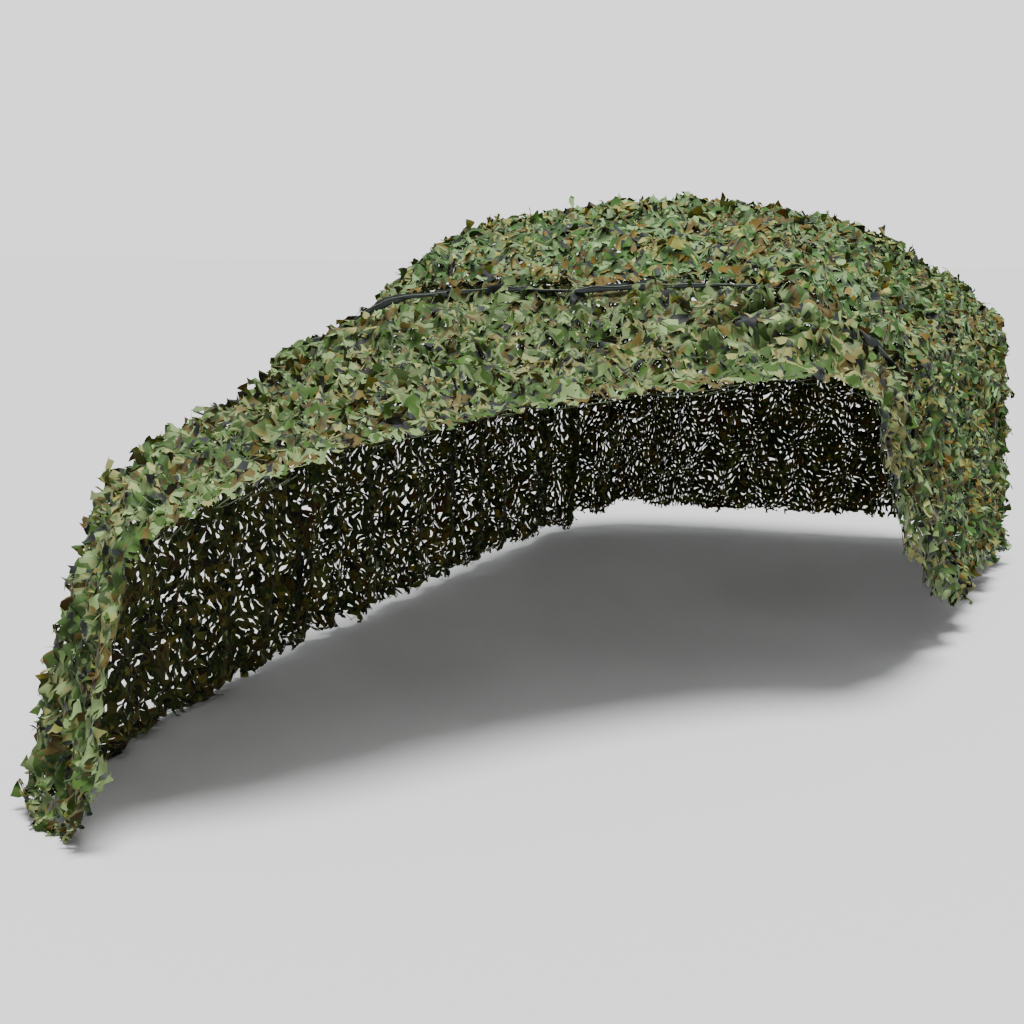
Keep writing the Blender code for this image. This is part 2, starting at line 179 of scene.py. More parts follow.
def distance_to(line: Array, p: Array, q: Array) -> Array:
    """Flat distance from each point to the nearest of a line's points."""
    nearest = np.full(p.shape, 9.0)
    for line_p, line_q in line:
        nearest = np.minimum(nearest, (p - line_p) ** 2 + (q - line_q) ** 2)
    return np.sqrt(nearest)


def closeness(line: Array, p: Array, q: Array, reach: float, power: int = 2) -> Array:
    """How near each flat point lies to a line: 1 on it, 0 well past the reach."""
    return np.exp(-((distance_to(line, p, q) / reach) ** power))


def slopes(place: Callable, p: Array, q: Array, step: float) -> tuple[Array, Array]:
    """How far a flat point's place moves between a step behind it and one ahead, by p and by q."""
    return place(p + step, q) - place(p - step, q), place(p, q + step) - place(p, q - step)


def unit(vectors: Array) -> Array:
    """Vectors of length 1, in the same directions."""
    return vectors / np.maximum(np.linalg.norm(vectors, axis=-1, keepdims=True), 1e-9)


def lattice_normals(points: Array) -> Array:
    """Outward unit normals of a lattice of points."""
    return unit(np.cross(np.gradient(points, axis=0), np.gradient(points, axis=1)))


JOIN_POINTS: Array = line_at(JOIN_LINE, np.linspace(0.006, 0.994, 300))


# ------------------------------------------------------------------ drape
@dataclass
class Drape:
    """Where the flat net comes to hang: on the form's top, down its sides, out over the ground."""

    hold_y: float = 2.85
    shoulder_p: float = 1.08
    corner_r: float = 0.50
    hang_flare: float = 0.05
    front_corner_flare: float = 0.16
    rear_corner_flare: float = 0.02
    floor_spread: float = 0.55
    soften: int = 2
    lattice: float = 0.025
    lattice_p: float = 2.6
    lattice_past_ends: float = 1.9
    side_pleat: float = 0.022
    corner_pleat: float = 0.040
    pleat_pitch: float = 0.33
    pleat_start: float = 0.05
    pleat_growth: float = 0.75
    corner_run: float = 0.95
    wave: float = 0.009
    slope_step: float = 0.04
    ground: float = 0.001
    near_ground: float = 0.05
    ground_folds: float = 0.5
    # along the form: middle height, half width and drop of the flat top, half width and height of
    # the shoulder
    sections: tuple[tuple[float, ...], ...] = (
        (0.04, 0.775, 0.42, 0.030, 0.58, 0.66),
        (0.30, 0.880, 0.56, 0.040, 0.74, 0.72),
        (0.80, 0.965, 0.66, 0.040, 0.895, 0.81),
        (1.35, 1.010, 0.70, 0.040, 0.945, 0.89),
        (1.62, 1.060, 0.72, 0.040, 0.96, 0.95),
        (1.95, 1.255, 0.66, 0.055, 0.965, 0.98),
        (2.25, 1.410, 0.62, 0.060, 0.97, 1.00),
        (2.75, 1.485, 0.61, 0.065, 0.97, 1.01),
        (3.25, 1.475, 0.63, 0.070, 0.97, 1.03),
        (3.70, 1.415, 0.67, 0.070, 0.965, 1.05),
        (4.30, 1.265, 0.71, 0.060, 0.95, 1.04),
        (4.75, 1.150, 0.70, 0.040, 0.90, 1.00),
        (4.86, 1.110, 0.66, 0.040, 0.84, 0.98),
    )
    # folds: p and q of the first end, p and q of the last, half width, height
    fold_table: tuple[tuple[float, ...], ...] = (
        (0.30, 1.66, 1.00, 1.98, 0.150, 0.040),
        (0.40, 1.84, 0.70, 2.04, 0.034, 0.028),
        (0.52, 1.84, 0.86, 2.12, 0.030, -0.034),
        (0.60, 1.80, 0.90, 2.04, 0.034, 0.026),
        (0.40, 1.68, 0.68, 1.97, 0.030, -0.030),
        (0.68, 1.73, 0.96, 2.02, 0.030, -0.028),
        (0.54, 1.63, 0.76, 1.76, 0.032, -0.024),
        (0.62, 1.66, 0.94, 1.90, 0.034, 0.026),
        (-0.88, 1.76, -0.40, 1.66, 0.050, -0.034),
        (-0.80, 1.88, -0.30, 1.82, 0.060, 0.020),
        (-0.70, 1.52, -0.10, 1.30, 0.070, 0.018),
        (-0.90, 1.20, -0.30, 0.95, 0.060, -0.016),
        (-0.80, 0.85, -0.35, 0.45, 0.060, 0.020),
        (-0.95, 0.60, -0.60, 0.25, 0.050, -0.018),
        (-1.14, 0.15, -1.40, -0.02, 0.100, 0.026),
        (-1.05, -0.02, -1.12, -0.40, 0.045, -0.022),
        (-1.12, 0.30, -0.90, -0.05, 0.045, -0.020),
        (-1.10, 1.93, -1.40, 1.96, 0.120, 0.070),
        (1.16, 2.02, 1.72, 2.66, 0.070, 0.030),
        (1.30, 2.30, 1.76, 2.96, 0.060, -0.030),
        (0.62, 2.36, 1.40, 2.62, 0.075, 0.022),
        (0.80, 2.62, 1.35, 3.10, 0.080, 0.018),
        (-0.60, 2.30, 0.40, 2.26, 0.065, 0.018),
        (-1.05, 2.55, -0.50, 2.40, 0.070, 0.020),
        (-0.90, 3.30, -0.20, 3.45, 0.090, 0.014),
        (-1.30, 3.05, -0.80, 3.75, 0.080, 0.020),
        (0.20, 3.75, 0.95, 4.10, 0.080, 0.020),
        (-0.80, 4.15, 0.10, 4.20, 0.090, -0.018),
        (-0.40, 4.62, 0.70, 4.55, 0.070, 0.024),
        (0.70, 4.50, 1.30, 5.20, 0.080, 0.034),
        (0.90, 4.35, 1.55, 4.75, 0.075, 0.026),
        (-0.70, 4.55, -1.25, 5.25, 0.085, 0.034),
        (-0.90, 4.30, -1.60, 4.60, 0.075, 0.026),
    )

    def __post_init__(self) -> None:
        """Work out the middle line's length, the softened lattice and the hold point."""
        self.table = np.array(self.sections)
        self.crown_y = np.linspace(self.table[0, 0], self.table[-1, 0], 1200)
        crown_z = smooth_curve(self.crown_y, self.table[:, 0], self.table[:, 1])
        steps = np.hypot(np.diff(self.crown_y), np.diff(crown_z))
        self.crown_q = np.concatenate([[0.0], np.cumsum(steps)])
        self.rear_q = float(self.crown_q[-1])
        self.points = self.soft_lattice()
        self.shift = np.zeros(3)
        hold_q = np.interp(self.hold_y, self.crown_y, self.crown_q)
        crown = self.net_point(np.array([0.0]), np.array([hold_q]))[0]
        self.shift = np.array([0.0, -crown[1], -crown[2]])

    def over_the_form(self, p: Array, q: Array) -> Array:
        """Where a flat point comes to lie on the form's top, inside the shoulder line."""
        y = np.interp(q, self.crown_q, self.crown_y)
        crown, top_half, top_drop, side_half, shoulder = (
            smooth_curve(y, self.table[:, 0], self.table[:, index]) for index in range(1, 6)
        )
        flat_run = np.hypot(top_half, top_drop)
        slope_run = np.hypot(side_half - top_half, crown - top_drop - shoulder)
        run = np.abs(p) / self.shoulder_p * (flat_run + slope_run)
        on_top = np.clip(run / flat_run, 0.0, 1.0)
        on_slope = np.clip((run - flat_run) / slope_run, 0.0, 1.0)
        x = top_half * on_top + (side_half - top_half) * on_slope
        z = crown - top_drop * on_top**2 - (crown - top_drop - shoulder) * on_slope
        return np.stack([np.sign(p) * x, y, z], axis=-1)

    def past_the_shoulder(self, p: Array, q: Array) -> tuple[Array, ...]:
        """Offset of a flat point from the inner rectangle, and that rectangle's nearest point.

        Returns:
            The offset by p and by q, the nearest point's p and q, the offset's length, and how
            much it points to a corner, from 0 to 1.
        """
        half = self.shoulder_p - self.corner_r
        inner_p = np.clip(p, -half, half)
        inner_q = np.clip(q, self.corner_r, self.rear_q - self.corner_r)
        off_p, off_q = p - inner_p, q - inner_q
        reach = np.hypot(off_p, off_q) + 1e-9
        return off_p, off_q, inner_p, inner_q, reach, 2.0 * np.abs(off_p * off_q) / reach**2

    def hang(self, p: Array, q: Array) -> Array:
        """The drape before smoothing: on the form, then straight down, then out over the floor."""
        off_p, off_q, inner_p, inner_q, reach, corner = self.past_the_shoulder(p, q)
        pull_in = np.minimum(1.0, self.corner_r / reach)
        on_form = self.over_the_form(inner_p + off_p * pull_in, inner_q + off_q * pull_in)
        beyond = np.maximum(reach - self.corner_r, 0.0)
        drop = np.minimum(beyond, on_form[..., 2])
        corner_flare = np.where(off_q < 0.0, self.front_corner_flare, self.rear_corner_flare)
        out = (self.hang_flare + corner_flare * corner) * drop
        out = out + self.floor_spread * (beyond - drop)
        x = on_form[..., 0] + off_p / reach * out
        y = on_form[..., 1] + off_q / reach * out
        return np.stack([x, y, on_form[..., 2] - drop], axis=-1)

    def running_mean(self, values: Array, axis: int) -> Array:
        """Mean over the smoothing window along one axis."""
        width = 2 * self.soften + 1
        pad = [(0, 0)] * values.ndim
        pad[axis] = (self.soften + 1, self.soften)
        total = np.cumsum(np.pad(values, pad, mode="edge"), axis=axis)
        size = total.shape[axis]
        upper = np.take(total, range(width, size), axis=axis)
        lower = np.take(total, range(0, size - width), axis=axis)
        return (upper - lower) / width

    def soft_lattice(self) -> Array:
        """The smoothed drape, sampled every lattice step of the flat net."""
        across = np.arange(-self.lattice_p, self.lattice_p + self.lattice / 2, self.lattice)
        ends = self.lattice_past_ends
        along = np.arange(-ends, self.rear_q + ends, self.lattice)
        points = self.hang(*np.meshgrid(across, along, indexing="ij"))
        for _ in range(3):
            points = self.running_mean(self.running_mean(points, 0), 1)
        return points

    def lying(self, p: Array, q: Array) -> Array:
        """Where a flat point of the net lies, without its folds."""
        i = np.clip((p + self.lattice_p) / self.lattice, 0, self.points.shape[0] - 1.001)
        j = np.clip((q + self.lattice_past_ends) / self.lattice, 0, self.points.shape[1] - 1.001)
        i0, j0 = i.astype(int), j.astype(int)
        u, v = (i - i0)[..., None], (j - j0)[..., None]
        near = self.points[i0, j0] * (1 - v) + self.points[i0, j0 + 1] * v
        far = self.points[i0 + 1, j0] * (1 - v) + self.points[i0 + 1, j0 + 1] * v
        return near * (1 - u) + far * u

    def beyond_shoulder(self, p: Array, q: Array) -> Array:
        """How far past the shoulder line a flat point lies: 0 there, 1 well down the side."""
        off_p, off_q, *_ = self.past_the_shoulder(p, q)
        past = np.hypot(off_p, off_q) - self.corner_r - self.pleat_start
        return np.clip(past / self.pleat_growth, 0.0, 1.0)

    def pleats(self, p: Array, q: Array) -> Array:
        """Upright folds of the hanging cloth, deepest at the hem and at the corners."""
        off_p, off_q, inner_p, inner_q, _, corner = self.past_the_shoulder(p, q)
        turn = np.arctan2(off_q, np.abs(off_p) + 1e-9) / (math.pi / 2)
        half_rear = self.shoulder_p - self.corner_r
        around = inner_q + self.corner_run * turn
        around = around + np.clip(turn, 0.0, 1.0) * (half_rear - np.abs(inner_p))
        rear_middle = self.rear_q - self.corner_r + self.corner_run + half_rear
        run = np.where(p >= 0.0, around, 2.0 * rear_middle - around)
        run = run / self.pleat_pitch * 2 * math.pi
        wander = run + 1.3 * np.sin(run * 0.23 + 0.6) + 0.8 * np.sin(run * 0.41)
        uneven = 0.75 + 0.25 * np.sin(run * 0.31 + 2.0)
        depth = self.side_pleat + self.corner_pleat * corner
        return depth * self.beyond_shoulder(p, q) * uneven * np.cos(wander)

    def folds(self, p: Array, q: Array) -> Array:
        """Height of the folds listed in the fold table."""
        height = np.zeros_like(p)
        for p0, q0, p1, q1, half_width, top in self.fold_table:
            along_p, along_q = p1 - p0, q1 - q0
            length = math.hypot(along_p, along_q)
            along = ((p - p0) * along_p + (q - q0) * along_q) / length**2
            aside = ((p - p0) * along_q - (q - q0) * along_p) / length
            past_end = np.maximum(np.abs(along - 0.5) - 0.5, 0.0) * length
            height = height + top * np.exp(-(aside**2 + past_end**2) / half_width**2)
        return height

    def slack(self, p: Array, q: Array) -> Array:
        """Low uneven waves of cloth that lies loose."""
        broad = np.sin(5.1 * p + 2.3 * q + 0.4) * np.sin(4.3 * q - 1.9 * p + 1.1)
        fine = np.sin(11.3 * p - 4.1 * q + 2.0) * np.sin(9.7 * q + 3.7 * p)
        return self.wave * (broad + 0.6 * fine)

    def net_point(self, p: Array, q: Array) -> Array:
        """Where a flat point of the net lies, with its folds, in the row's frame."""
        normal = unit(np.cross(*slopes(self.lying, p, q, self.slope_step)))
        height = self.folds(p, q) + self.pleats(p, q) + self.slack(p, q)
        point = self.lying(p, q) + normal * height[..., None]
        near_floor = np.clip(1.0 - point[..., 2] / self.near_ground, 0.0, 1.0)
        lift = self.ground + self.ground_folds * np.maximum(height, 0.0) * near_floor
        point[..., 2] = np.maximum(point[..., 2], lift)
        return point + self.shift


def soft_noise(rng: np.random.Generator, p: Array, q: Array, wavelength: float) -> Array:
    """A smooth random field of about unit height over the flat net.

    Args:
        rng: The draws.
        p: Flat places across the net.
        q: Flat places along it.
        wavelength: The field's typical wavelength in metres.

    Returns:
        The field at each place.
    """
    value = np.zeros_like(p)
    waves = 14
    for _ in range(waves):
        heading = rng.uniform(0.0, 2 * math.pi)
        length = wavelength * rng.uniform(0.7, 1.5)
        phase = rng.uniform(0.0, 2 * math.pi)
        bend = rng.uniform(0.0, 2 * math.pi)
        along = (p * math.cos(heading) + q * math.sin(heading)) / length * 2 * math.pi
        aside = (q * math.cos(heading) - p * math.sin(heading)) / length * 2.1
        value = value + np.sin(along + 1.2 * np.sin(aside + bend) + phase)
    return value * math.sqrt(2.0 / waves)


# ------------------------------------------------------------------ finishes
@dataclass(frozen=True)
class PrintFinish:
    """Colours of one panel's woodland print; what its back is tinted with, partly its own duller
    back and partly painted light (shade inside, golden glow of light through the cloth); and its
    surface.
    """

    pale: Colour
    green: Colour
    dark: Colour
    tan: Colour
    beige: Colour
    back: Colour
    roughness: float = 0.62
    sheen: float = 0.12
    specular: float = 0.35


# back: the tint of the cloth's back side, partly its own duller colour and partly painted light:
# shade inside the net and a golden glow of light shining through the cloth
FRONT_PRINT = PrintFinish(
    pale=(0.208, 0.300, 0.108, 1.0),
    green=(0.050, 0.114, 0.012, 1.0),
    dark=(0.018, 0.022, 0.021, 1.0),
    tan=(0.115, 0.084, 0.012, 1.0),
    beige=(0.300, 0.305, 0.100, 1.0),
    back=(0.80, 0.62, 0.26, 1.0),
)
MAIN_PRINT = PrintFinish(
    pale=(0.212, 0.338, 0.130, 1.0),
    green=(0.042, 0.120, 0.014, 1.0),
    dark=(0.019, 0.024, 0.023, 1.0),
    tan=(0.165, 0.104, 0.009, 1.0),
    beige=(0.305, 0.315, 0.075, 1.0),
    back=(0.80, 0.60, 0.24, 1.0),
)


@dataclass(frozen=True)
class PlainFinish:
    """One colour with fine fibres: the tape, its thread and the twine."""

    colour: Colour
    roughness: float = 0.70


TAPE_FINISH = PlainFinish(colour=(0.012, 0.016, 0.015, 1.0), roughness=0.95)
THREAD_FINISH = PlainFinish(colour=(0.16, 0.19, 0.15, 1.0))
TWINE_FINISH = PlainFinish(colour=(0.10, 0.13, 0.07, 1.0))


@dataclass(frozen=True)
class PrintSpot:
    """One colour of the print: the noise that places it, and the level where it starts."""

    colour: str
    scale: float
    detail: float
    distortion: float
    offset: float
    level: float
    soft: float = 0.006


# laid over the pale ground in this order
PRINT_SPOTS = (
    PrintSpot("Beige", 6.5, 1.0, 0.8, 17.3, 0.55, soft=0.012),
    PrintSpot("Green", 9.5, 1.4, 1.2, 0.0, 0.505),
    PrintSpot("Tan", 10.5, 1.2, 1.0, 5.3, 0.595),
    PrintSpot("Dark", 10.5, 1.4, 1.4, 11.9, 0.612),
)
LEAF_SHIFT = 0.25  # how far apart in the print's noise two leaves can lie
LEAF_AND_SHADE_VALUES = (0.44, 1.54)  # darkest and lightest tint: leaves differ at random, and the net's bands take the dark end as painted shade
WEAVE_SCALE = 220.0
WEAVE_DISTORTION = 0.6
WEAVE_BUMP = 0.15
WEAVE_DEPTH = 0.0004
FIBRE_NOISE = (40.0, 3.0, 0.3, 2.0)  # scale, detail, distortion and offset
FIBRE_VALUES = (0.5, 1.7)


def add_node(tree, kind: str, given: dict | None = None, **settings):
    """Add a shader node to a tree.

    Args:
        tree: The node tree.
        kind: The node's type, without its "ShaderNode".
        given: The socket or the value that each input gets.
        settings: The node's own settings, made before its inputs are set.

    Returns:
        The node.
    """
    node = tree.nodes.new("ShaderNode" + kind)
    for name, value in settings.items():
        setattr(node, name, value)
    for name, value in (given or {}).items():
        if isinstance(value, bpy.types.NodeSocket):
            tree.links.new(value, node.inputs[name])
        else:
            node.inputs[name].default_value = value
    return node


def new_group(name: str, inputs: tuple[tuple[str, str], ...], output: tuple[str, str]):
    """An empty shader node group with its sockets.

    Args:
        name: The group's name.
        inputs: Name and socket type of each input.
        output: Name and socket type of the output.

    Returns:
        The group's tree, its inputs and its output.
    """
    tree = bpy.data.node_groups.new(name, "ShaderNodeTree")
    for label, kind in inputs:
        tree.interface.new_socket(name=label, in_out="INPUT", socket_type=kind)
    tree.interface.new_socket(name=output[0], in_out="OUTPUT", socket_type=output[1])
    given, made = tree.nodes.new("NodeGroupInput"), tree.nodes.new("NodeGroupOutput")
    return tree, given.outputs, made.inputs[0]


def noise_value(tree, place, scale: float, detail: float, distortion: float, offset: float):
    """The value of a noise texture, shifted so that two noises differ."""
    apart = (offset, 0.7 * offset, 0.3 * offset)
    moved = add_node(tree, "VectorMath", {0: place, 1: apart}, operation="ADD").outputs[0]
    given = {"Vector": moved, "Scale": scale, "Detail": detail, "Distortion": distortion}
    return add_node(tree, "TexNoise", given, noise_dimensions="3D").outputs[0]


def mixed(tree, mask, under, over, blend: str = "MIX"):
    """One colour laid over another through a mask; each is a socket or a value."""
    given = {"Factor": mask, "A": under, "B": over}
    return add_node(tree, "Mix", given, data_type="RGBA", blend_type=blend).outputs["Result"]


def in_range(tree, value, name: str, limits: Pair):
    """A value's place in a range, or the range at that value: name is From or To."""
    given = {"Value": value, f"{name} Min": limits[0], f"{name} Max": limits[1]}
    return add_node(tree, "MapRange", given, clamp=True).outputs["Result"]


def print_group():
    """The woodland print: its ground and four spot colours on the flat cloth, tinted by leaf at
    random, darker on the net's bands as painted shade, and with more tan at the join as a painted
    glow of light through the leaves.
    """
    tree, given, made = new_group(
        "woodland_print",
        (
            ("Place", "NodeSocketVector"),
            ("Leaf", "NodeSocketFloat"),
            ("Backlit_glow", "NodeSocketFloat"),
            *((label, "NodeSocketColor") for label in ("Pale", "Green", "Dark", "Tan", "Beige")),
        ),
        ("Colour", "NodeSocketColor"),
    )
    leaf = add_node(tree, "CombineXYZ", {"Z": given["Leaf"]}).outputs[0]
    shift = {0: leaf, 1: (0.0, 0.0, LEAF_SHIFT), 2: given["Place"]}
    place = add_node(tree, "VectorMath", shift, operation="MULTIPLY_ADD").outputs[0]
    layer = given["Pale"]
    for spot in PRINT_SPOTS:
        value = noise_value(tree, place, spot.scale, spot.detail, spot.distortion, spot.offset)
        # more of the print's tan where the cloth hangs over the join: painted light, a glow
        # standing in for light shining through the leaves
        if spot.colour == "Tan":
            both = {0: value, 1: given["Backlit_glow"]}
            value = add_node(tree, "Math", both, operation="ADD").outputs[0]
        mask = in_range(tree, value, "From", (spot.level - spot.soft, spot.level + spot.soft))
        layer = mixed(tree, mask, layer, given[spot.colour])
    # each cell's value: a random leaf tone, and painted shade that darkens the net's bands under
    # the flaps
    tone_and_shade = {"Value": in_range(tree, given["Leaf"], "To", LEAF_AND_SHADE_VALUES), "Color": layer}
    tree.links.new(add_node(tree, "HueSaturation", tone_and_shade).outputs["Color"], made)
    return tree


def weave_group():
    """A fine plain weave as a height: two crossing waves on the flat place."""
    tree, given, made = new_group(
        "fine_weave", (("Place", "NodeSocketVector"),), ("Height", "NodeSocketFloat")
    )
    wave = {"Vector": given["Place"], "Scale": WEAVE_SCALE, "Distortion": WEAVE_DISTORTION}
    heights = [
        add_node(tree, "TexWave", wave, bands_direction=direction).outputs["Fac"]
        for direction in ("X", "Y")
    ]
    total = add_node(tree, "Math", dict(enumerate(heights)), operation="ADD")
    tree.links.new(total.outputs[0], made)
    return tree


def new_material(name: str, roughness: float):
    """A new material, its tree and its shader node."""
    material = bpy.data.materials.new(name)
    material.use_nodes = True
    shader = material.node_tree.nodes["Principled BSDF"]
    shader.inputs["Roughness"].default_value = roughness
    return material, material.node_tree, shader


def print_material(name: str, finish: PrintFinish, print_tree, weave_tree):
    """Printed leaf cloth, with a darker, browner back: partly the cloth's own duller back, partly
    painted shade inside and a painted golden glow of light through the cloth.

    Args:
        name: The material's name.
        finish: Its colours.
        print_tree: The shared print group.
        weave_tree: The shared weave group.

    Returns:
        The material.
    """
    material, tree, shader = new_material(name, finish.roughness)
    shader.inputs["Sheen Weight"].default_value = finish.sheen
    shader.inputs["Specular IOR Level"].default_value = finish.specular
    place = add_node(tree, "UVMap", uv_map="flat_cloth").outputs["UV"]
    leaf, backlit_glow = (
        add_node(tree, "Attribute", attribute_name=label).outputs["Fac"]
        for label in ("leaf", "backlit_glow")
    )
    given = {
        "Place": place, "Leaf": leaf, "Backlit_glow": backlit_glow, "Pale": finish.pale, "Green": finish.green,
        "Dark": finish.dark, "Tan": finish.tan, "Beige": finish.beige,
    }
    printed = add_node(tree, "Group", given, node_tree=print_tree).outputs["Colour"]
    # the back side: the print times a golden brown, partly the cloth's own duller back and partly
    # painted light: shade inside and a glow of light through the cloth
    back = mixed(tree, 1.0, printed, finish.back, "MULTIPLY")
    side = add_node(tree, "NewGeometry").outputs["Backfacing"]
    tree.links.new(mixed(tree, side, printed, back), shader.inputs["Base Color"])
    weave = add_node(tree, "Group", {"Place": place}, node_tree=weave_tree).outputs["Height"]
    bump = {"Strength": WEAVE_BUMP, "Distance": WEAVE_DEPTH, "Height": weave}
    tree.links.new(add_node(tree, "Bump", bump).outputs["Normal"], shader.inputs["Normal"])
    return material


def plain_material(name: str, finish: PlainFinish):
    """A fibre material of one colour, lighter and darker along its length."""
    material, tree, shader = new_material(name, finish.roughness)
    place = add_node(tree, "TexCoord").outputs["Object"]
    value = in_range(tree, noise_value(tree, place, *FIBRE_NOISE), "To", FIBRE_VALUES)
    tint = add_node(tree, "HueSaturation", {"Color": finish.colour, "Value": value})
    tree.links.new(tint.outputs["Color"], shader.inputs["Base Color"])
    return material


# ------------------------------------------------------------------ meshes
def linked(mesh, material):
    """Put a mesh in the scene as an object at the origin, with its material."""
    piece = bpy.data.objects.new(mesh.name, mesh)
    bpy.context.scene.collection.objects.link(piece)
    mesh.materials.append(material)
    return piece


def cell_mesh(
    name: str, points: Array, cells: Array, places: Array, tints: Array, backlit_glow: Array | None = None
):
    """A mesh of four-sided cells, with the flat place as its UV map and a tint for each cell.

    Args:
        name: The mesh's name.
        points: All points; the ones that no cell uses are left out.
        cells: Four point numbers for each cell.
        places: The flat place of each point.
        tints: A tint from 0 to 1 for each cell.
        backlit_glow: How much more of the print's tan each cell has: painted light, a glow of light
            shining through the leaves.

    Returns:
        The mesh.
    """
    used, numbers = np.unique(cells, return_inverse=True)
    numbers = numbers.reshape(cells.shape)
    mesh = bpy.data.meshes.new(name)
    mesh.vertices.add(len(used))
    mesh.vertices.foreach_set("co", points[used].astype(np.float32).ravel())
    mesh.loops.add(numbers.size)
    mesh.loops.foreach_set("vertex_index", numbers.astype(np.int32).ravel())
    mesh.polygons.add(len(numbers))
    mesh.polygons.foreach_set("loop_start", np.arange(0, numbers.size, 4, dtype=np.int32))
    mesh.update(calc_edges=True)
    uv = mesh.uv_layers.new(name="flat_cloth")
    uv.data.foreach_set("uv", places[used][numbers.ravel()].astype(np.float32).ravel())
    for label, values in (("leaf", tints), ("backlit_glow", backlit_glow)):
        if values is not None:
            layer = mesh.attributes.new(label, "FLOAT", "FACE")
            layer.data.foreach_set("value", values.astype(np.float32))
    mesh.validate()
    mesh.shade_smooth()
    return mesh


def add_tube(name: str, points: Array, cells: Array, places: Array, material):
    """Add a piece of tubes to the net: the twine, the band or the thread."""
    mesh = cell_mesh(name, points, cells, places, np.full(len(cells), 0.5))
    piece = linked(mesh, material)
    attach(piece, "root")
    LOG.info("%s: %d cells", name, len(cells))
    return piece


def quads(number: Array) -> Array:
    """The four corners of each cell of a lattice that lies on the last two axes."""
    near, far = number[..., :-1], number[..., 1:]
    return np.stack(
        [near[..., :-1, :], near[..., 1:, :], far[..., 1:, :], far[..., :-1, :]], axis=-1
    )


def tube_quads(rings: int, ring: int) -> Array:
    """The corners of each cell of a tube, whose points are numbered ring after ring."""
    first, place = np.arange(rings - 1)[:, None] * ring, np.arange(ring)[None, :]
    here, ahead = first + place, first + (place + 1) % ring
    return np.stack([here, here + ring, ahead + ring, ahead], axis=-1).reshape(-1, 4)


def largest_island(cells: Array, count: int) -> Array:
    """Which cells belong to the sheet itself, and not to a scrap that its outline cuts loose.

    Args:
        cells: Four point numbers for each cell.
        count: How many points there are.

    Returns:
        One truth value for each cell.
    """
    label = np.arange(count)
    while True:
        new = label.copy()
        np.minimum.at(new, cells.ravel(), np.repeat(label[cells].min(axis=1), 4))
        new = new[new]
        if np.array_equal(new, label):
            break
        label = new
    names, sizes = np.unique(label[cells[:, 0]], return_counts=True)
    return label[cells[:, 0]] == names[np.argmax(sizes)]


@dataclass(frozen=True)
class Flap:
    """One leaf flap in its tile: the block of cells that it takes, and its hinge side."""

    first: tuple[int, int]
    last: tuple[int, int]
    hinge: Hinge


# each pattern is a way to slit a tile of 5 by 4 cells
WHOLE_FLAPS = (Hinge.REAR, Hinge.FRONT, Hinge.LEFT, Hinge.RIGHT)
SLITS: tuple[tuple[Flap, ...], ...] = (
    *((Flap((1, 1), (4, 3), hinge),) for hinge in WHOLE_FLAPS),
    (Flap((1, 1), (3, 3), Hinge.RIGHT), Flap((3, 1), (4, 3), Hinge.LEFT)),
    (Flap((1, 1), (2, 3), Hinge.REAR), Flap((2, 1), (4, 3), Hinge.FRONT)),
)


@dataclass(frozen=True)
class Bunch:
    """The gathered folds at the left of the join, in front of it."""

    height: float = 0.015
    middle: Pair = (0.68, 1.84)
    reach: Pair = (0.24, 0.13)
    across: Pair = (-0.55, 0.83)  # the way from one fold to the next
    pitch: float = 0.085
    wander: float = 0.8
    wander_rate: float = 9.0

    def rise(self, p: Array, q: Array) -> Array:
        """How far the folds lift the cloth."""
        run = (self.across[1] * q + self.across[0] * p) / self.pitch * 2 * math.pi
        off_p, off_q = (p - self.middle[0]) / self.reach[0], (q - self.middle[1]) / self.reach[1]
        near = np.exp(-(off_p**2) - off_q**2)
        return self.height * near * np.sin(run + self.wander * np.sin(self.wander_rate * p))


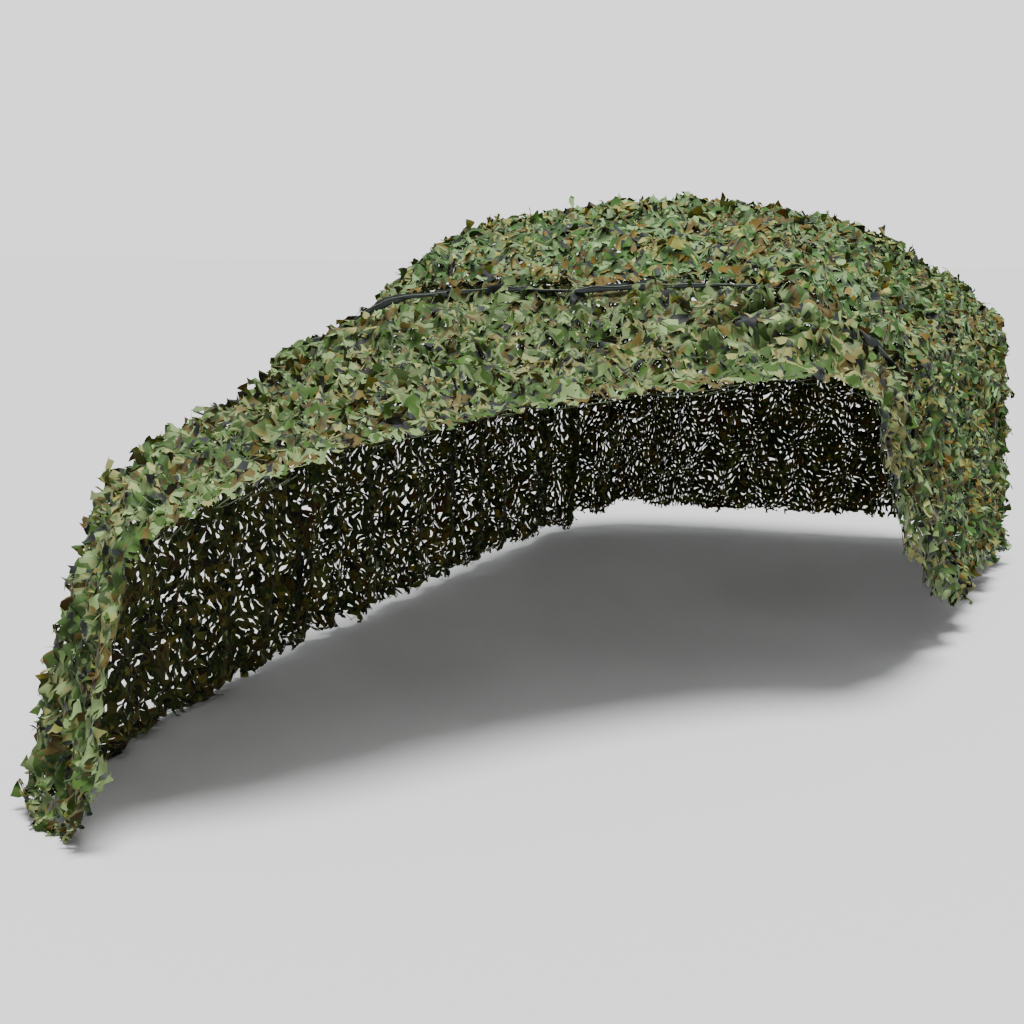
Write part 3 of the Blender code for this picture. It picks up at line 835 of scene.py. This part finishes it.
@dataclass
class LeafCloth:
    """One panel of leaf-cut cloth. Angles are in degrees, curl and twist in radians a metre."""

    name: str
    node: str
    outline: Array
    drape: Drape
    seed: int
    cell: float = 0.0082
    tile: tuple[int, int] = (5, 4)
    margin: float = 0.06
    # shares of the slit patterns, and how much more often a flap hangs down a slope
    weights: tuple[float, ...] = (0.20, 0.08, 0.12, 0.12, 0.24, 0.24)
    hang_weight: float = 0.75
    # how the rows wander, the slits shift (in cells), and the edges are lobed (in shares) and shake
    row_warp: float = 0.013
    row_warp_length: float = 0.22
    slit_shift: float = 0.30
    lobes: tuple[int, int] = (3, 5)
    lobe_depths: Pair = (0.08, 0.26)
    fine_lobes: float = 0.7
    lobe_limits: Pair = (-0.34, 0.26)
    flap_growth: float = 1.52
    jitter: float = 0.0019
    # the sheet's own unevenness
    lift: float = 0.003
    lowest: float = -0.010
    billow: float = 0.0095
    billow_length: float = 0.075
    swell: float = 0.007
    swell_length: float = 0.26
    edge_fray: float = 0.010
    fray_length: float = 0.055
    fray_along: float = 0.7
    top: float = CAD_BOX[1][2] + 0.047
    # how the flaps bend out of the sheet
    least_bend: float = 4.0
    bend_span: float = 44.0
    wide_open: float = 35.0
    wide_open_share: float = 0.08
    inward_share: float = 0.18
    inward_bend: float = -0.55
    curl: Pair = (-24.0, 28.0)
    twist: float = 16.0
    # how much less they do on the steep sides, at the join and along the pulled edge
    steep_rest: float = 0.66
    flat_rest: float = 0.90
    join_reach: float = 0.042
    calm_line: Array | None = None
    calm_reach: float = 0.115
    calm_slit: float = 0.06
    calm_rise: float = 0.35
    calm_twist: float = 0.5
    # tints: a flap's least, its tile's share and its own, at random; the sheet's, kept low as
    # painted shade on the bands under the flaps; the pulled edge's, where that shade is evened out
    flap_tint: tuple[float, float, float] = (0.15, 0.35, 0.5)
    painted_band_shade: float = 0.38
    calm_tint: Pair = (0.45, 0.06)
    # extra tan near the join and how far it reaches: painted light, the glow of light shining
    # through the leaves that hang over the tape
    backlit_glow: float = 0.13
    backlit_glow_reach: float = 0.0
    bunch: Bunch | None = None
    join_lift: float = 0.0
    join_lift_reach: float = 0.045
    under_join: float = 0.0
    bins: tuple[tuple[float, float], ...] = ((-3.0, 3.0),)

    def lattice(self) -> None:
        """Lay the fine lattice over the panel, with its print places, points and directions."""
        self.rng = rng = np.random.default_rng(self.seed)
        self.low = np.floor((self.outline.min(axis=0) - self.margin) / self.cell).astype(int)
        high = np.ceil((self.outline.max(axis=0) + self.margin) / self.cell).astype(int)
        self.shape = tuple(high - self.low + 1)
        i, j = (np.arange(self.low[axis], high[axis] + 1) for axis in (0, 1))
        p, q = np.meshgrid(i * self.cell, j * self.cell, indexing="ij")
        warp_p = self.row_warp * soft_noise(rng, p, q, self.row_warp_length)
        warp_q = self.row_warp * soft_noise(rng, p, q, self.row_warp_length)
        p, q = p + warp_p, q + warp_q
        smooth = self.drape.net_point(p, q)
        normal = lattice_normals(smooth)
        rise = self.lift + self.billow * soft_noise(rng, p, q, self.billow_length)
        rise = rise + self.swell * soft_noise(rng, p, q, self.swell_length)
        rise = np.maximum(rise, self.lowest) * (1 - self.calm_rise * self.calm(p, q))
        if self.bunch:
            rise = rise + self.bunch.rise(p, q)
        if self.join_lift:
            near = closeness(JOIN_POINTS, p, q, self.join_lift_reach)
            rise = rise + self.join_lift * near
        smooth = smooth + normal * rise[..., None]
        smooth[..., 2] = np.clip(smooth[..., 2], FLOOR_Z + NET_CLEAR, self.top)
        self.p, self.q, self.smooth = p, q, smooth
        self.step_p = np.gradient(smooth, self.cell, axis=0)
        self.step_q = np.gradient(smooth, self.cell, axis=1)
        self.out = lattice_normals(smooth)

    def tile_corner(self, columns: Array, rows: Array) -> tuple[Array, Array]:
        """Lattice place of the first corner of each of the staggered tiles."""
        wide, deep = self.tile
        return columns * wide - (rows % 2) * (wide // 2), rows * deep

    def tiles(self) -> None:
        """Number the staggered tiles and draw each one's slit pattern, leaf shape and tint."""
        wide, deep = self.tile
        i, j = np.indices(self.shape)
        self.row = j // deep
        shifted = i + (self.row % 2) * (wide // 2)
        self.column = shifted // wide
        self.in_p, self.in_q = shifted % wide, j % deep
        count = (self.column.max() + 1, self.row.max() + 1)
        first_i, first_j = self.tile_corner(*np.indices(count))
        middle_i = np.clip(first_i + wide // 2, 0, self.shape[0] - 1)
        middle_j = np.clip(first_j + deep // 2, 0, self.shape[1] - 1)
        climb_p = self.step_p[middle_i, middle_j, 2]
        climb_q = self.step_q[middle_i, middle_j, 2]
        weights = np.array(self.weights)[:, None, None] * np.ones((1, *count))
        for index, climb in enumerate((climb_q, -climb_q, climb_p, -climb_p)):
            weights[index] += self.hang_weight * np.clip(climb, 0.0, 1.0)
        draw = -np.log(-np.log(self.rng.uniform(1e-9, 1.0, size=weights.shape)))
        self.pattern = np.argmax(np.log(weights) + draw, axis=0)
        self.slit_move = self.rng.uniform(-self.slit_shift, self.slit_shift, size=(2, *count))
        self.leaf_tint = self.rng.random(count)
        self.lobe_phase = self.rng.uniform(0, 2 * math.pi, size=(2, *count))
        self.lobe_depth = self.rng.uniform(*self.lobe_depths, size=(2, *count))

    def shaped_places(self) -> None:
        """Move the lattice's flat places so that the slits become lobed leaf edges."""
        wide, deep = self.tile
        at = (slice(None), self.column, self.row)
        local_p = (self.in_p - wide / 2) * self.cell
        local_q = (self.in_q - deep / 2) * self.cell
        angle = np.arctan2(local_q, local_p)
        first, second = self.lobe_phase[at]
        depth, fine = self.lobe_depth[at]
        lobes = depth * np.cos(self.lobes[0] * angle + first)
        lobes = lobes + self.fine_lobes * fine * np.cos(self.lobes[1] * angle + second)
        border = (self.in_p == 0) | (self.in_q == 0)
        lobes = np.where(border, 0.0, np.clip(lobes, *self.lobe_limits))
        shake = self.rng.normal(0.0, self.jitter, size=(2, *self.shape))
        shift = np.where(border, 0.0, self.cell * self.slit_move[at])
        move_p = local_p * lobes + shake[0] + shift[0]
        move_q = local_q * lobes + shake[1] + shift[1]
        self.base = (
            self.smooth + self.step_p * move_p[..., None] + self.step_q * move_q[..., None]
        )
        self.base[..., 2] = np.maximum(self.base[..., 2], FLOOR_Z + SHEET_CLEAR)
        self.place = np.stack([self.p + move_p, self.q + move_q], axis=-1)

    def calm(self, p: Array, q: Array) -> Array:
        """How flat the leaves lie: 1 at the pulled edge, 0 away from it."""
        if self.calm_line is None:
            return np.zeros_like(p)
        return closeness(self.calm_line, p, q, self.calm_reach, power=4)

    def evened(self, tint: Array, tile_tint: Array, calm: Array) -> Array:
        """A tint, evened out where the leaves lie flat."""
        least, share = self.calm_tint
        return (1 - calm) * tint + calm * (least + share * tile_tint)

    def flap_cells(self, flap: Flap, columns: Array, rows: Array):
        """Bend one kind of flap on each of its tiles.

        Args:
            flap: The flap.
            columns: Column of each tile that has it.
            rows: Row of each tile.

        Returns:
            Points, flat places, cells by lattice or new number, and a tint per cell. New numbers
            start at the lattice's size.
        """
        wide, deep = self.tile
        rng = self.rng
        (a0, b0), (a1, b1) = flap.first, flap.last
        first_i, first_j = (first[:, None, None] for first in self.tile_corner(columns, rows))
        a, b = np.mgrid[a0 : a1 + 1, b0 : b1 + 1]
        i, j = first_i + a, first_j + b
        across_q = flap.hinge in (Hinge.LEFT, Hinge.RIGHT)
        sign = -1.0 if flap.hinge in (Hinge.LEFT, Hinge.REAR) else 1.0
        if across_q:
            hinge_i = first_i + (a1 if flap.hinge is Hinge.LEFT else a0)
            root, on_hinge = (hinge_i, j), i == hinge_i
            ahead_step, side_step = self.step_p[root], self.step_q[root]
        else:
            hinge_j = first_j + (b1 if flap.hinge is Hinge.REAR else b0)
            root, on_hinge = (i, hinge_j), j == hinge_j
            ahead_step, side_step = self.step_q[root], self.step_p[root]
        forward, out = unit(ahead_step * sign), self.out[root]
        sideways = np.cross(out, forward)
        flat_move = self.place[i, j] - self.place[root]
        along = np.maximum(flat_move[..., 0 if across_q else 1] * sign, 0.0)
        aside = flat_move[..., 1 if across_q else 0]
        aside = aside * np.sign(np.einsum("...k,...k->...", side_step, sideways))
        count = (len(columns), 1, 1)
        middle_p = (first_i + wide / 2 + self.low[0]) * self.cell
        middle_q = (first_j + deep / 2 + self.low[1]) * self.cell
        calm = self.calm(middle_p, middle_q)
        bend = self.least_bend + self.bend_span * rng.random(size=count) ** 2.0
        bend = bend + self.wide_open * (rng.random(size=count) < self.wide_open_share)
        steep = 1.0 - np.abs(out[..., 2].mean(axis=(1, 2)))[:, None, None]
        at_join = closeness(JOIN_POINTS, middle_p, middle_q, self.join_reach, power=4)
        flat = np.maximum(calm, at_join)
        loose = (1 - self.flat_rest * flat) * (1 - self.steep_rest * steep)
        bend = np.radians(bend) * loose
        inward = rng.random(size=count) < self.inward_share
        bend = np.where(inward, self.inward_bend * bend, bend)
        curl = rng.uniform(*self.curl, size=count) * loose
        twist = rng.uniform(-self.twist, self.twist, size=count) * (1 - self.calm_twist * calm)
        widen = along / (np.max(along, axis=(1, 2), keepdims=True) + 1e-6)
        growth = (self.flap_growth - 1.0) * (1 - flat)
        aside = aside + growth * np.sqrt(widen) * (aside - aside.mean(axis=(1, 2), keepdims=True))
        along = along * (1.0 + growth - self.calm_slit * calm)
        turned = bend + twist * aside
        tip = turned + curl * along
        mean = (turned + tip) / 2
        reach = along * np.sinc((tip - turned) / 2 / math.pi)
        ahead, up = reach * np.cos(mean), reach * np.sin(mean)
        points = self.base[root] + forward * ahead[..., None] + out * up[..., None]
        points = points + sideways * aside[..., None]
        points[..., 2] = np.clip(points[..., 2], FLOOR_Z + FLAP_CLEAR, self.top)
        columns_long = self.shape[1]
        number = self.shape[0] * columns_long + np.arange(i.size).reshape(i.shape)
        cells = quads(np.where(on_hinge, i * columns_long + j, number))
        tile_tint = self.leaf_tint[columns, rows][:, None, None]
        least, share, own = self.flap_tint
        tint = least + share * tile_tint + own * rng.random(size=count)
        tint = np.broadcast_to(self.evened(tint, tile_tint, calm), cells.shape[:-1])
        places = self.place[i, j].reshape(-1, 2)
        return points.reshape(-1, 3), places, cells.reshape(-1, 4), tint.ravel()

    def assemble(self) -> tuple[Array, Array, Array, Array]:
        """Put the net's bands and all its flaps together, cut to the outline.

        Returns:
            Points, flat places, cells and the cells' tints.
        """
        self.lattice()
        self.tiles()
        self.shaped_places()
        wide, deep = self.tile
        fray = self.edge_fray * soft_noise(self.rng, self.p, self.q, self.fray_length)
        within = inside(self.outline, self.p + fray, self.q + self.fray_along * fray)
        if self.under_join:
            within |= distance_to(JOIN_POINTS, self.p, self.q) < self.under_join
        size = lattice_size = within.size
        keep = quads(within).all(axis=-1)
        a, b, column, row, p, q = (
            values[:-1, :-1]
            for values in (self.in_p, self.in_q, self.column, self.row, self.p, self.q)
        )
        in_flap = (a >= 1) & (a < wide - 1) & (b >= 1) & (b < deep - 1)
        band = keep & ~in_flap
        tile_tint = self.leaf_tint[column, row][band]
        # the net's bands between and under the flaps get a low tint: painted shade
        tint = self.evened(self.painted_band_shade * tile_tint, tile_tint, self.calm(p[band], q[band]))
        cells = quads(np.arange(size).reshape(self.shape))[band]
        parts = [(self.base.reshape(-1, 3), self.place.reshape(-1, 2), cells, tint)]
        whole = np.ones(self.leaf_tint.shape, dtype=bool)
        whole[column[~keep], row[~keep]] = False
        columns, rows = np.nonzero(whole)
        first_i, first_j = self.tile_corner(columns, rows)
        room = (first_i >= 0) & (first_i + wide < self.shape[0])
        room &= first_j + deep < self.shape[1]
        columns, rows = columns[room], rows[room]
        pattern = self.pattern[columns, rows]
        for index, flaps in enumerate(SLITS):
            chosen = pattern == index
            for flap in flaps:
                points, places, cells, tint = self.flap_cells(flap, columns[chosen], rows[chosen])
                cells = np.where(cells >= lattice_size, cells - lattice_size + size, cells)
                size += len(points)
                parts.append((points, places, cells, tint))
        points, places, cells, tints = (np.concatenate(group) for group in zip(*parts))
        sheet = largest_island(cells, size)
        return points, places, cells[sheet], tints[sheet]

    def build(self, material) -> list:
        """Make the panel's pieces, in strips where one piece would be too heavy.

        Args:
            material: The printed cloth.

        Returns:
            The pieces.
        """
        points, places, cells, tints = self.assemble()
        middle = places[cells].mean(axis=1)
        backlit_glow = np.zeros(len(cells))
        # painted light: extra tan near the join for the glow of light through the hanging leaves
        if self.backlit_glow_reach:
            backlit_glow = self.backlit_glow * closeness(JOIN_POINTS, *middle.T, self.backlit_glow_reach)
        pieces = []
        for number, (low, high) in enumerate(self.bins):
            chosen = (middle[:, 0] >= low) & (middle[:, 0] < high)
            name = self.name if len(self.bins) == 1 else f"{self.name}_{number + 1}"
            mesh = cell_mesh(name, points, cells[chosen], places, tints[chosen], backlit_glow[chosen])
            piece = linked(mesh, material)
            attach(piece, "root")
            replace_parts(piece, self.node)
            pieces.append(piece)
            LOG.info("%s: %d cells", name, int(chosen.sum()))
        return pieces


@dataclass
class JoinTape:
    """The dark folded band along the join of the two panels, with its lighter stitching thread."""

    drape: Drape
    seed: int = 41
    ends: Pair = (0.012, 0.985)
    length: float = 4.6  # roughly: with the step it gives the number of rings
    step: float = 0.009
    half_width: float = 0.0135
    half_thick: float = 0.0034
    forward: float = 0.021
    rise: float = 0.013
    ring: int = 12
    folds: int = 3
    fold_depth: float = 0.10
    # the band's roll in radians and its unevenness in shares, each with its wavelength
    roll: Pair = (0.55, 0.19)
    swell: Pair = (0.22, 0.13)
    crumple: Pair = (0.10, 0.035)
    thread_sway: Pair = (0.35, 0.16)
    thread_r: float = 0.0013
    thread_ring: int = 5
    thread_height: float = 1.5
    side_step: float = 0.02
    place_scale: float = 0.01

    def centre_line(self) -> tuple[Array, Array, Array, Array]:
        """The band's middle line, its upward and sideways directions, and the run along it."""
        flat = line_at(JOIN_LINE, np.linspace(*self.ends, int(self.length / self.step)))
        p, q = flat[:, 0], flat[:, 1] - self.forward
        points = self.drape.net_point(p, q)
        run = np.linalg.norm(np.diff(points, axis=0), axis=1)
        along = unit(np.gradient(points, axis=0))
        _, side = slopes(self.drape.net_point, p, q, self.side_step)
        side = unit(side - along * np.einsum("ij,ij->i", side, along)[:, None])
        return points, np.cross(side, along), side, np.concatenate([[0.0], np.cumsum(run)])

    def build(self, material, thread_material) -> None:
        """Lay the band along the join, and the thread on it.

        Args:
            material: The band's finish.
            thread_material: The thread's finish.
        """
        points, up, side, run = self.centre_line()
        rng = np.random.default_rng(self.seed)
        tilt, swell, crumple, sway = (
            share * soft_noise(rng, run, np.zeros_like(run), wavelength)
            for share, wavelength in (self.roll, self.swell, self.crumple, self.thread_sway)
        )
        swell, crumple = 1.0 + swell, 1.0 + crumple
        angle = np.linspace(0, 2 * math.pi, self.ring, endpoint=False)
        fold = 1.0 + self.fold_depth * np.cos(self.folds * angle)
        wide = self.half_width * (swell * crumple)[:, None] * (np.cos(angle) * fold)[None, :]
        thick = self.half_thick * swell[:, None] * (np.sin(angle) * fold)[None, :]
        across = wide * np.cos(tilt)[:, None] - thick * np.sin(tilt)[:, None]
        above = wide * np.sin(tilt)[:, None] + thick * np.cos(tilt)[:, None] + self.rise
        band = points[:, None, :] + side[:, None, :] * across[..., None]
        band = band + up[:, None, :] * above[..., None]
        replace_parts(self.tube("join_band", band, run, angle, material), "join_tape")
        sway = self.half_width * sway
        height = self.rise + self.half_thick * self.thread_height + np.abs(sway * np.sin(tilt))
        middle = points + side * sway[:, None] + up * height[:, None]
        thin = np.linspace(0, 2 * math.pi, self.thread_ring, endpoint=False)[None, :, None]
        round_it = np.cos(thin) * side[:, None, :] + np.sin(thin) * up[:, None, :]
        thread = middle[:, None, :] + self.thread_r * round_it
        self.tube("join_thread", thread, run, thin.ravel(), thread_material)

    def tube(self, name: str, rings: Array, run: Array, angle: Array, material):
        """Join rings of points into a tube and add it to the net.

        Args:
            name: The piece's name.
            rings: Points by ring and by place round it.
            run: How far along the join each ring is.
            angle: Each place round a ring.
            material: The finish.

        Returns:
            The piece.
        """
        count = len(angle)
        points = rings.reshape(-1, 3)
        points[:, 2] = np.maximum(points[:, 2], FLOOR_Z + FLAP_CLEAR)
        round_it = np.tile(angle * self.place_scale, len(run))
        places = np.stack([np.repeat(run, count), round_it], axis=-1)
        return add_tube(name, points, tube_quads(len(run), count), places, material)


@dataclass
class BackingTwine:
    """The net of twine that carries the leaf cloth, with slack loops along the free front edge."""

    drape: Drape
    outlines: tuple[Array, ...]
    seed: int = 77
    pitch: float = 0.085
    radius: float = 0.0011
    step: float = 0.028
    depth: float = 0.004
    ring: int = 3
    slope_step: float = 0.015
    inward: float = 0.05
    # the diamond mesh before it is cut: where its lines start, and how long they are
    from_q: float = -8.5
    to_q: float = 8.5
    run: float = 11.4
    from_p: float = -2.6
    # loops: how many, where along the edge, and the ranges of their size in metres
    loops: int = 58
    loop_ends: Pair = (0.18, 0.93)
    loop_widths: Pair = (0.007, 0.022)
    loop_sags: Pair = (0.008, 0.038)
    loop_skew: float = 0.004
    loop_points: int = 12
    loop_radius: float = 0.0006

    def runs(self) -> list[Array]:
        """Flat lines of the diamond mesh, cut to the outlines."""
        lines = []
        t = np.arange(0.0, self.run, self.step)
        p = self.from_p + t / math.sqrt(2.0)
        for slant in (-1.0, 1.0):
            for start in np.arange(self.from_q, self.to_q, self.pitch * math.sqrt(2.0)):
                q = start + slant * t / math.sqrt(2.0)
                kept = np.any([inside(outline, p, q) for outline in self.outlines], axis=0)
                edges = np.flatnonzero(np.diff(np.concatenate([[0], kept.astype(int), [0]])))
                for first, last in zip(edges[::2], edges[1::2]):
                    if last - first > 2:
                        lines.append(np.stack([p[first:last], q[first:last]], axis=-1))
        return lines

    def ring_points(self, points: Array, across: Array, radius: float) -> Array:
        """Rings of points round a line; across is the surface's outward direction there."""
        along = unit(np.gradient(points, axis=0))
        side = unit(np.cross(along, across))
        up = np.cross(side, along)
        angle = np.linspace(0, 2 * math.pi, self.ring, endpoint=False)[None, :, None]
        turned = side[:, None, :] * np.cos(angle) + up[:, None, :] * np.sin(angle)
        return (points[:, None, :] + radius * turned).reshape(-1, 3)

    def on_the_net(self, flat: Array) -> tuple[Array, Array]:
        """Points of a flat line on the draped net, and the outward normals there."""
        normal = unit(np.cross(*slopes(self.drape.net_point, *flat.T, self.slope_step)))
        points = self.drape.net_point(*flat.T) - normal * self.depth
        points[:, 2] = np.maximum(points[:, 2], FLOOR_Z + SHEET_CLEAR)
        return points, normal

    def hanging_loops(self) -> list[tuple[Array, Array]]:
        """Slack loops of twine that hang out below the front edge."""
        rng = np.random.default_rng(self.seed)
        share = np.linspace(0.0, 1.0, self.loop_points)
        made = []
        for start in np.sort(rng.uniform(*self.loop_ends, self.loops)):
            flat = line_at(FRONT_EDGE, start + rng.uniform(*self.loop_widths) * share)
            points, normal = self.on_the_net(flat)
            inward, _ = self.on_the_net(flat + np.array([0.0, self.inward]))
            sag = np.sin(math.pi * share) * rng.uniform(*self.loop_sags)
            skew = (2.0 * share - 1.0) * rng.uniform(-self.loop_skew, self.loop_skew)
            points = points + unit(points - inward) * sag[:, None] + normal * skew[:, None]
            made.append((points, normal))
        return made

    def build(self, material) -> None:
        """Make the twine net and its loops as one piece."""
        all_points, all_cells, count = [], [], 0
        lines = [(*self.on_the_net(flat), self.radius) for flat in self.runs()]
        loops = [(*loop, self.loop_radius) for loop in self.hanging_loops()]
        for line, normal, radius in lines + loops:
            all_points.append(self.ring_points(line, normal, radius))
            all_cells.append(tube_quads(len(line), self.ring)[:, [0, 3, 2, 1]] + count)
            count += len(all_points[-1])
        points, cells = np.concatenate(all_points), np.concatenate(all_cells)
        add_tube("backing_twine", points, cells, points[:, :2], material)


# ------------------------------------------------------------------ the studio
@dataclass
class Studio:
    """Pale floor, soft light and the camera at the photo's place."""

    camera_at: tuple[float, float, float] = (1.926, -6.558, 0.0145)
    tilt: float = 80.89
    turn: float = 20.84
    lens: float = 67.86
    clip_end: float = 200.0
    floor_half: float = 40.0
    floor_tone: float = 0.86
    floor_bounce: float = 0.30
    floor_roughness: float = 0.9
    sky_colour: Colour = (0.95, 0.97, 1.0, 1.0)
    sky: float = 0.36
    backdrop: float = 2.0
    # each sun's name, place, spread in degrees and strength
    suns: tuple[tuple[str, tuple[float, float, float], float, float], ...] = (
        ("high_light", (1.3, -1.8, 8.0), 26.0, 4.8),
        ("front_light", (1.5, -8.0, 4.0), 70.0, 0.35),
    )

    def floor(self) -> None:
        """A wide pale ground under the net, darker to the light than to the camera."""
        for item in bpy.context.selected_objects:
            item.select_set(False)
        bpy.ops.mesh.primitive_plane_add(size=2 * self.floor_half, location=(0, 0, FLOOR_Z))
        ground = bpy.context.active_object
        ground.name = "floor"
        material, tree, shader = new_material("pale_floor", self.floor_roughness)
        seen = add_node(tree, "LightPath").outputs["Is Camera Ray"]
        bounce, tone = ((grey, grey, grey, 1.0) for grey in (self.floor_bounce, self.floor_tone))
        tree.links.new(mixed(tree, seen, bounce, tone), shader.inputs["Base Color"])
        ground.data.materials.append(material)

    def light(self) -> None:
        """Pale sky light all round, a high sun and a weak light from the front."""
        world = bpy.data.worlds.new("pale_sky")
        bpy.context.scene.world = world
        world.use_nodes = True
        tree = world.node_tree
        sky = tree.nodes["Background"]
        sky.inputs["Color"].default_value = self.sky_colour
        sky.inputs["Strength"].default_value = self.sky
        backdrop = add_node(tree, "Background", {"Strength": self.backdrop})
        seen = add_node(tree, "LightPath").outputs["Is Camera Ray"]
        given = {0: seen, 1: sky.outputs[0], 2: backdrop.outputs[0]}
        blend = add_node(tree, "MixShader", given).outputs[0]
        tree.links.new(blend, tree.nodes["World Output"].inputs["Surface"])
        for name, place, spread, strength in self.suns:
            data = bpy.data.lights.new(name, "SUN")
            data.angle = math.radians(spread)
            data.energy = strength
            lamp = bpy.data.objects.new(name, data)
            lamp.location = place
            lamp.rotation_euler = (-Vector(place)).to_track_quat("-Z", "Y").to_euler()
            bpy.context.scene.collection.objects.link(lamp)

    def camera(self) -> None:
        """The camera at the photo's viewing angle."""
        data = bpy.data.cameras.new("photo_view")
        data.lens = self.lens
        data.clip_end = self.clip_end
        view = bpy.data.objects.new("photo_view", data)
        view.location = self.camera_at
        view.rotation_euler = (math.radians(self.tilt), 0.0, math.radians(self.turn))
        bpy.context.scene.collection.objects.link(view)
        bpy.context.scene.camera = view


def main() -> None:
    """Build the net's pieces, dress them and set up the studio."""
    logging.basicConfig(level=logging.INFO)
    drape = Drape()
    print_tree, weave_tree = print_group(), weave_group()
    front_outline = closed_outline(
        (FRONT_EDGE, False), (FRONT_RIGHT_HEM, False), (JOIN_LINE, True), (FRONT_LEFT_HEM, True)
    )
    main_outline = closed_outline(
        (JOIN_LINE, False), (RIGHT_HEM, False), (REAR_HEM, True), (LEFT_HEM, True)
    )
    front_edge = line_at(FRONT_EDGE, np.linspace(0.0, 1.0, 140))
    twine = BackingTwine(drape, (front_outline, main_outline))
    twine.build(plain_material("twine", TWINE_FINISH))
    front = LeafCloth(
        "front_leaves", "front_panel", front_outline, drape, seed=3, calm_line=front_edge,
        under_join=0.030, bunch=Bunch(),
    )
    back = LeafCloth(
        "main_leaves", "main_panel", main_outline, drape, seed=8, join_lift=0.020, cell=0.0070,
        backlit_glow_reach=0.06, bins=((-3.0, -1.0), (-1.0, 0.0), (0.0, 1.0), (1.0, 3.0)),
    )
    for cloth, slot, finish in (
        (front, "front_cloth", FRONT_PRINT),
        (back, "main_cloth", MAIN_PRINT),
    ):
        for piece in cloth.build(print_material(f"{slot}_print", finish, print_tree, weave_tree)):
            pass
    JoinTape(drape).build(
        plain_material("tape", TAPE_FINISH), plain_material("stitching", THREAD_FINISH)
    )
    studio = Studio()
    studio.floor()
    studio.light()
    studio.camera()


if __name__ == "__main__":
    main()
